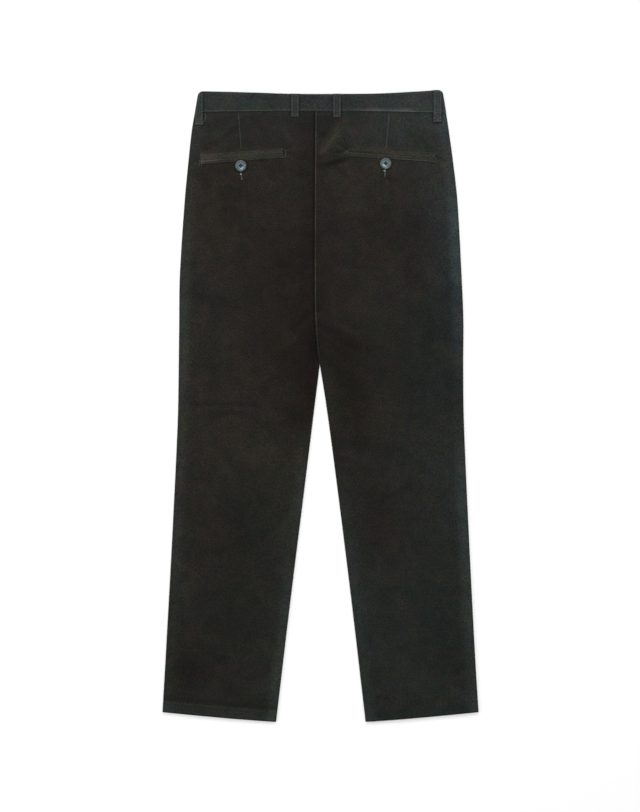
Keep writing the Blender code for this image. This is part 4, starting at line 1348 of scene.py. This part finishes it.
def carrier_height(leg, across, up):
    """Height of whatever lies under a belt loop: the band, or the panel below its seam."""
    seam = read_table(WAIST, "seam", across)
    from_edge = np.maximum((across - band_end(leg, up)) * TOWARDS[leg], 0.0)
    on_band = smooth_step(*LOOP_STEP, up - seam)
    result = 0.0
    for share, top, lip in (
        (on_band, band_height(across) + OVER_BAND, BAND_LIP),
        (1.0 - on_band, cloth_height(leg, across, np.minimum(up, seam - OFF_SEAM)), PANEL_LIP),
    ):
        radius = top - lip
        into_roll = np.maximum(radius - from_edge, 0.0)
        rolled = np.sqrt(np.maximum(radius**2 - into_roll**2, 0.0))
        result = result + share * (top - radius + rolled)
    return result


def loop_ends(loop):
    """The levels of the waist seam and of the loop's own top."""
    seam = float(read_table(WAIST, "seam", loop.across))
    return seam, float(read_table(WAIST, "top", loop.across)) - loop.below_top


def tack_levels(loop):
    """The levels of a loop's two bar tacks."""
    return loop.bottom + LOOP_TACK_UP, loop_ends(loop)[1] - LOOP_TACK_DOWN


def loop_places(loop, share, up):
    """Where a share of a belt loop's width (-0.5 to 0.5) lies, kept inside the band's end."""
    towards = TOWARDS[loop.leg]
    inside = loop.across + towards * LOOP_WIDTH / 2
    limit = band_end(loop.leg, up) + towards * LOOP_CLEAR
    outside = loop.across - towards * LOOP_WIDTH / 2
    outside = np.where((outside - limit) * towards < 0.0, limit, outside)
    return mix(np.minimum(outside, inside), np.maximum(outside, inside), share + 0.5)


def loop_surface(loop, share, up):
    """Height of a belt loop's outer face: a folded strip with two pressed stitch rows."""
    across = loop_places(loop, share, up)
    under = carrier_height(loop.leg, across, up)
    crown = LOOP_CROWN - LOOP_ROUND * np.abs(share) ** 3
    crown += marks(np.abs(share), LOOP_ROW_RELIEF)
    for tack in tack_levels(loop):
        crown = crown + marks(up - tack, LOOP_TACK_RELIEF)
    crown = crown + marks(up - sum(loop_ends(loop)) / 2, LOOP_SWELL)
    crown += LOOP_UNEVEN * np.sin(up / LOOP_UNEVEN_LENGTH + loop.across)
    return across, under + SEAM_GAP + LOOP_WALL + crown


def belt_loop(loop):
    """A belt loop, from the panel below the seam up to the band's top."""
    seam, top = loop_ends(loop)
    fine, over = seam - 4.6, seam + 1.0  # from above the panel until on the band
    stretches = [(loop.bottom + 1.7, fine, 0.9), (fine, over, 0.6), (over, top - 1.7, 1.3)]
    low = [loop.bottom + step for step in LOOP_RIM]
    levels = all_rows((low, stretches, [top - step for step in reversed(LOOP_RIM)]))
    share = np.array(LOOP_SHARES)
    share, up = np.meshgrid(np.concatenate([share, -share[-2::-1]]), levels)
    across, height = loop_surface(loop, share, up)
    # painted sheen along the folded edges, and painted shade in the stitch grooves
    tone = LOOP_TONES[loop.name] * (1.0 + marks(np.abs(share), LOOP_EDGE_TONE))
    tone = tone * (1.0 + marks(np.abs(share), LOOP_ROW_TONE))
    return cloth_shell(
        f"{loop.name}_velvet", stack(across, up, height), LOOP_WALL,
        np.array(PRESSED_COLOUR) * tone[..., None], "pressed_velvet", node=loop.name, soft=0.8,
    )


def loop_stitches(loop):
    """Two rows along the loop, and a bar tack at each of its ends."""
    up = np.linspace(loop.bottom + 3.0, loop_ends(loop)[1] - 3.6, 50)
    rows = []
    for share in (-LOOP_ROW, LOOP_ROW):
        across, height = loop_surface(loop, share, up)
        rows.append(stack(across, up, height))
    tacks = []
    for level in tack_levels(loop):
        share = np.linspace(-0.44, 0.44, 26)
        across, height = loop_surface(loop, share, np.full(26, level))
        tacks.append(stack(across, level, height))
    kind = "centre_tack" if "centre" in loop.name else "side_tack"
    return [
        sew(f"{loop.name}_stitches", rows, "loop_rows"),
        sew(f"{loop.name}_tacks", tacks, kind),
    ]


# ---------------------------------------------------------------- pockets


def lower_welt_tone(leg, along, share):
    """A painted highlight along its fold, brightest near the side on the left pocket."""
    fold = bell((1.0 - share) * 5.5, 1.3)
    if leg == "left":
        near_side = 1.0 - smooth_step(0.0, 0.25, along)
        glint = 0.50 + 1.5 * (1.0 - smooth_step(0.02, 0.36, along))
        return 0.80 + glint * fold + 0.22 * near_side
    glint = 0.25 + 0.35 * bell(along - 0.42, 0.16) + 0.25 * smooth_step(0.6, 0.9, along)
    return 0.84 + glint * fold


def upper_welt_tone(leg, along, share):
    """A soft light strip; painted shade where the right pocket gapes a little at its inside end."""
    rising = smooth_step(1.0, 0.45, share)
    if leg == "left":
        near_side = bell(along - 0.08, 0.1)
        return 0.90 + 0.16 * rising + 0.10 * near_side
    gape_shade = smooth_step(0.50, 0.66, along) * bell(share - 0.25, 0.4)
    return (0.98 + 0.08 * rising) * (1.0 - 0.38 * gape_shade)


def welt(pocket, part, low, high, tone_of):
    """One lip of a pocket, between two of its lines, each an edge and a distance from it."""
    along, share = np.meshgrid(rimmed(WELT_RIM, *WELT_INNER, 90), WELT_SHARES)
    across = mix(pocket.side, pocket.inside, along)
    bottom, top = [pocket_line(pocket, edge, along) + gap for edge, gap in (low, high)]
    up = mix(bottom, top, share)
    under = cloth_height(pocket.leg, across, up)
    wave = 0.07 * np.sin(across * 0.31) + 0.05 * np.sin(across * 0.83 + 1.0)
    height = under + SEAM_GAP + TAPE + wave * bell(share - 0.5, 0.4)
    tone = tone_of(pocket.leg, along, share) * button_shade(pocket.leg, across, up)
    name = f"pocket_{pocket.leg}_{part}_welt"
    return cloth_shell(
        f"{name}_velvet", stack(across, up, height), TAPE,
        np.array(WELT_COLOUR) * tone[..., None], "pressed_velvet", node=name, soft=0.95,
    )


def pocket_lips(pocket):
    """A pocket's two lips."""
    below, above = ("lip", -LIP_OPENING / 2), ("lip", LIP_OPENING / 2)
    return [
        welt(pocket, "lower", ("low", 0.0), below, lower_welt_tone),
        welt(pocket, "upper", above, ("top", 0.0), upper_welt_tone),
    ]


def on_pocket(pocket, across, up):
    """Points on a pocket's lips, or on the panel outside them."""
    across, up = as_grids(across, up)
    lifted = (SEAM_GAP + TAPE) * (distance_to_pocket(pocket, across, up) < ON_LIPS)
    return stack(across, up, cloth_height(pocket.leg, across, up) + lifted)


def left_tacks(pocket):
    """Two worn columns at the side end and a loop of stitches round the inside end."""
    rise = np.linspace(0.0, 1.0, 14)
    bottom, length = 946.5, 18.0
    ends = [
        on_pocket(pocket, pocket.side + lean * rise + beside, bottom + length * rise)
        for beside, lean in ((-2.6, 3.0), (1.2, 2.2))
    ]
    middle_across, middle_up, half_width, half_height = -66.0, 967.0, 7.0, 7.8
    turn = np.linspace(-0.5 * math.pi, 0.5 * math.pi, 16)
    across = middle_across + half_width * np.cos(turn)
    ends.append(on_pocket(pocket, across, middle_up + half_height * np.sin(turn)))
    return ends


def right_tacks(pocket):
    """A bracket of stitches at the side end, and gathers that fan out from the inside end."""
    rise = np.linspace(0.0, 1.0, 14)
    side, sway, bottom, length = 195.0, 1.3, 952.0, 14.5
    bracket = side + sway * np.sin(rise * 2.0 * math.pi)
    ends = [on_pocket(pocket, bracket, bottom + length * rise)]
    middle_across, middle_up, half_length = 44.0, 968.5, 2.6
    reach = np.linspace(-half_length, half_length, 8)
    for turn in (15.0, 75.0, 130.0):
        across = middle_across + reach * math.cos(math.radians(turn))
        up = middle_up + reach * math.sin(math.radians(turn))
        ends.append(on_pocket(pocket, across, up))
    return ends


def pocket_stitches(pocket):
    """Dotted rows along the box's long edges, and the tacks at its two ends."""
    name = f"pocket_{pocket.leg}"
    inset = 0.9
    along = np.linspace(0.01, 0.99, 120)
    across = mix(pocket.side, pocket.inside, along)
    upper = on_pocket(pocket, across, pocket_line(pocket, "top", along) - inset)
    lower = on_pocket(pocket, across, pocket_line(pocket, "low", along) + inset)
    pieces = [
        sew(f"{name}_upper_stitches", [upper], "upper_welt"),
        sew(f"{name}_lower_stitches", [lower], "lower_welt"),
    ]
    if pocket.leg == "right":
        pieces.append(sew(f"{name}_light_stitches", [lower[:54]], "light_welt"))
    tacks = {"left": left_tacks, "right": right_tacks}[pocket.leg](pocket)
    pieces.append(sew(f"{name}_tacks", tacks, "pocket_tack"))
    return pieces


# ---------------------------------------------------------------- buttons


def lathe(form, profile, steps):
    """Turn a half section round the height axis."""
    points = [form.verts.new((radius * MM, 0.0, height * MM)) for radius, height in profile]
    edges = [form.edges.new(pair) for pair in zip(points, points[1:])]
    bmesh.ops.spin(
        form, geom=points + edges, axis=(0, 0, 1), cent=(0, 0, 0),
        steps=steps, angle=2 * math.pi, use_merge=True,
    )


def turned_object(form, name):
    """Close the seams of turned forms and make an object of them."""
    bmesh.ops.remove_doubles(form, verts=form.verts, dist=1e-6)
    bmesh.ops.recalc_face_normals(form, faces=form.faces)
    mesh = bpy.data.meshes.new(name)
    form.to_mesh(mesh)
    form.free()
    return add_object(name, mesh)


def horn_tone(leg, points):
    """Tone of the polished horn: its dashed ring, its lighter dish with a painted highlight of the
    window's glint in it, darker at its outer edge and in its middle.
    """
    out = np.hypot(*points[:, :2].T) / MM
    sides = points[:, :2] / MM / np.maximum(out, 0.1)[:, None]
    towards_glint = np.clip(sides @ np.array(GLINTS[leg]), 0.0, 1.0)
    dashes = 0.58 + 0.42 * np.sin(4.0 * np.arctan2(sides[:, 1], sides[:, 0]) - 1.2)
    tone = 0.86 + dashes * marks(out, HORN_RING) - 0.40 * smooth_step(8.7, 9.5, out)
    tone = tone + marks(out, HORN_DISH) * (0.55 + 3.4 * towards_glint**6)
    return tone - 0.72 * (1.0 - smooth_step(3.0, 3.9, out))


def horn_button(button):
    """A turned button: rounded rim, pressed ring, dished middle and four countersunk holes."""
    name = f"button_{button.leg}"
    under = float(cloth_height(button.leg, button.across, button.up))
    seat = under + SEAM_GAP + TAPE + SEAM_GAP
    form = bmesh.new()
    lathe(form, HORN_PROFILE, 72)
    blank = turned_object(form, f"{name}_blank")
    drill = bmesh.new()
    for quarter in range(4):
        angle = quarter * math.pi / 2
        lathe(drill, DRILL_PROFILE, 20)
        for vertex in [vertex for vertex in drill.verts if not vertex.tag]:
            vertex.co.x += HOLE_DISTANCE * MM * math.cos(angle)
            vertex.co.y += HOLE_DISTANCE * MM * math.sin(angle)
            vertex.tag = True
    cutter = turned_object(drill, f"{name}_drill")
    drilled = blank.modifiers.new("holes", "BOOLEAN")
    drilled.operation = "DIFFERENCE"
    drilled.object = cutter
    mesh = made_by_modifiers(blank, f"{name}_horn")
    for thing in (blank, cutter):
        bpy.data.objects.remove(thing, do_unlink=True)
    points = np.zeros(len(mesh.vertices) * 3)
    mesh.vertices.foreach_get("co", points)
    points = points.reshape(-1, 3)
    middle = place([button.across, button.up, seat])
    mesh.vertices.foreach_set("co", (points + middle).ravel())
    colours = np.array(HORN_COLOUR) * horn_tone(button.leg, points)[:, None]
    dress(mesh, "button", colours, HORN_SHARP)
    return new_piece(f"{name}_horn", mesh, name), seat


def button_thread(button, seat):
    """Two crossed bars of thread through the holes, and the shank under the button."""
    name = f"button_{button.leg}"
    centre = np.array([button.across, button.up, seat])
    across, along, upward = np.identity(3)
    low_bar = centre + BAR_HEIGHT * upward
    bars = [
        [middle + step * BAR_HALF * beside for step in (-1.0, 0.0, 1.0)]
        for beside, middle in ((along, low_bar), (-across, low_bar + BAR_OVER * upward))
    ]
    shank = [centre - 0.75 * upward, centre + 0.01 * along + 1.2 * upward]
    return [
        sew(f"{name}_thread", bars, "button_bars"),
        sew(f"{name}_shank", [shank], "button_shank"),
    ]


def buttonhole(button):
    """The part of the buttonhole that shows below the button: a cord edge and its bar tack."""
    name = f"buttonhole_{button.leg}"
    tail = TAILS[button.leg]
    line = np.linspace(0.0, 1.0, 20)
    up = mix(button.up - BUTTON_RADIUS + UNDER_BUTTON, tail.end_up, line)
    centre = mix(button.across, tail.end_across, line)
    edges = []
    for beside in (-CORD_HALF, CORD_HALF):
        across = centre + beside * (1.0 - CORD_TAPER * line)
        edges.append(on_panel_at(button.leg, across, up))
    across = tail.tack_across + np.linspace(-TACK_HALF, TACK_HALF, 8)
    tack = on_panel_at(button.leg, across, tail.tack_up)
    return [sew(f"{name}_edge", edges, "hole_edge"), sew(f"{name}_tack", [tack], "hole_tack")]


# ---------------------------------------------------------------- stitches of the panels


def waist_stitches():
    """The row along the waist seam, broken at the belt loops."""
    across = np.linspace(-WAIST_ROW_END, WAIST_ROW_END, 420)
    up = read_table(WAIST, "seam", across) + WAIST_ROW
    row = stack(across, up, band_height(across, up))
    clear = np.ones(len(across), bool)
    for loop in LOOPS:
        clear &= distance_beside_loop(loop, across) > BESIDE_LOOP
    starts = np.where(np.diff(clear.astype(int)))[0] + 1
    runs = zip(np.split(row, starts), np.split(clear, starts))
    kept = [run for run, shows in runs if len(run) > 3 and shows.all()]
    return sew("waist_stitches", kept, "waist")


def dart_stitches(leg):
    """The stitches along a dart."""
    up = np.linspace(DARTS[leg].point_up + 3.0, SEAM_LEVEL - 2.0, 60)
    return sew(f"dart_{leg}_stitches", [on_panel_at(leg, dart_across(leg, up), up)], "dart")


def hem_stitches(leg):
    """The blind stitches that hold a hem."""
    share = np.linspace(*PANEL_INNER, 120)
    up = hem_lift(share) + HEM_DEPTH - HEM_ROW
    across = mix(*panel_edges(leg, up), share)
    return sew(f"hem_{leg}_stitches", [on_panel_at(leg, across, up)], "hem")


def pressed_line():
    """The line that the end of the left side loop presses into the cloth."""
    line = np.linspace(0.0, 1.0, 40)
    across, up = [read_table(LOOP_LINE, column, line) for column in ("across", "up")]
    return sew("loop_side_left_line", [on_panel_at("left", across, up)], "pressed_line")


# ---------------------------------------------------------------- fly, behind the front edges


def fly_pieces():
    """The zip's strip and teeth, and the shield, behind the front edges."""
    levels = all_rows(FLY_ROWS)[:, None]
    share = rimmed(FLY_RIM, *FLY_INNER, 19)[None, :] * 2.0 - 1.0
    seam = read_table(SEAT_SEAM, "across", levels)
    for strip in FLY_STRIPS:
        face = stack(seam + share * strip.half_width, levels, strip.height)
        colour = np.array(VELVET_COLOUR) * np.ones(face.shape)
        cloth_shell(strip.piece, face, strip.wall, colour, strip.slot, node=strip.node)
    sew("zip_teeth", [stack(seam, levels, TEETH_HEIGHT)[:, 0]], "zip_teeth")


# ---------------------------------------------------------------- the whole

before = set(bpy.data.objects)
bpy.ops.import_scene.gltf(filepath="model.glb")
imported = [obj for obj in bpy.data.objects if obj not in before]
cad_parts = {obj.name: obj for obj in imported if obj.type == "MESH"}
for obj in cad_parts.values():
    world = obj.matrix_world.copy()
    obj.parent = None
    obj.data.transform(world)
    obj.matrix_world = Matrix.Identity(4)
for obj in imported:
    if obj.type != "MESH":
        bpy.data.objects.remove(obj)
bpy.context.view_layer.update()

FINISH = {cloth.slot: cloth_material(cloth) for cloth in CLOTHS}
FINISH.update({finish.key: plain_material(finish) for finish in FINISHES})
TREE = stitch_tree()

panels = {leg: back_panel(leg) for leg in LEGS}
fronts = {leg: front_panel(leg) for leg in LEGS}
on_panel = {"left": [seam_allowance()], "right": []}
band = waistband_back()
band_fronts = {leg: waistband_front(leg) for leg in LEGS}
for leg in LEGS:
    on_panel[leg] += pocket_lips(POCKETS[leg]) + pocket_stitches(POCKETS[leg])
for leg in LEGS:
    horn, seat = horn_button(BUTTONS[leg])
    on_panel[leg] += [horn] + button_thread(BUTTONS[leg], seat) + buttonhole(BUTTONS[leg])
on_band = []
for loop in LOOPS:
    on_band += [belt_loop(loop)] + loop_stitches(loop)
on_band.append(waist_stitches())
for leg in LEGS:
    on_panel[leg] += [dart_stitches(leg), hem_stitches(leg)]
on_panel["left"].append(pressed_line())
fly_pieces()


# ---------------------------------------------------------------- floor, light and camera

WHITE = (1.0, 1.0, 1.0)
FLOOR_WHITE = (0.985, 0.985, 0.985, 1.0)
FLOOR_REACH = 6.0
SKY_STRENGTH = 0.34
LIGHTS = make_table("name place aim size power", [
    ("overhead", (0.4, 0.0, 5.2), (0.1, 0.0, 0.0), (4.5, 4.5), 163.0),
    ("window", (-0.4, 2.7, 2.7), (0.0, 0.2, 0.0), (1.6, 1.0), 42.0),
    ("left_fill", (-2.8, 0.2, 1.8), (0.0, 0.0, 0.0), (1.6, 1.2), 20.0),
])

corners = [
    (x * FLOOR_REACH, y * FLOOR_REACH, 0.0) for x, y in ((-1, -1), (1, -1), (1, 1), (-1, 1))
]
floor_mesh = bpy.data.meshes.new("floor")
floor_mesh.from_pydata(corners, [], [(0, 1, 2, 3)])
floor_paint, floor_tree, floor_shader = new_material("floor_white")
fill(floor_tree, floor_shader, {"Base Color": FLOOR_WHITE, "Roughness": 0.9})
floor_mesh.materials.append(floor_paint)
floor = add_object("floor", floor_mesh)
floor.location.z = -0.0002

for light in LIGHTS:
    lamp = bpy.data.lights.new(light.name, "AREA")
    lamp.shape = "RECTANGLE"
    lamp.size, lamp.size_y = light.size
    lamp.energy = light.power
    lamp.color = WHITE
    source = add_object(light.name, lamp)
    source.location = light.place
    way = Vector((np.array(light.aim) - np.array(light.place)).tolist())
    source.rotation_euler = way.to_track_quat("-Z", "Y").to_euler()

world = bpy.data.worlds.new("studio")
bpy.context.scene.world = world
world.use_nodes = True
sky = world.node_tree.nodes["Background"]
fill(world.node_tree, sky, {"Color": (*WHITE, 1.0), "Strength": SKY_STRENGTH})
bpy.context.scene.view_settings.view_transform = "Standard"

eye = bpy.data.cameras.new("camera")
eye.lens = 100.0
eye.sensor_width = 36.0
eye.sensor_fit = "AUTO"
camera = add_object("camera", eye)
camera.location = (-0.001, 0.0, 3.837)
bpy.context.scene.camera = camera
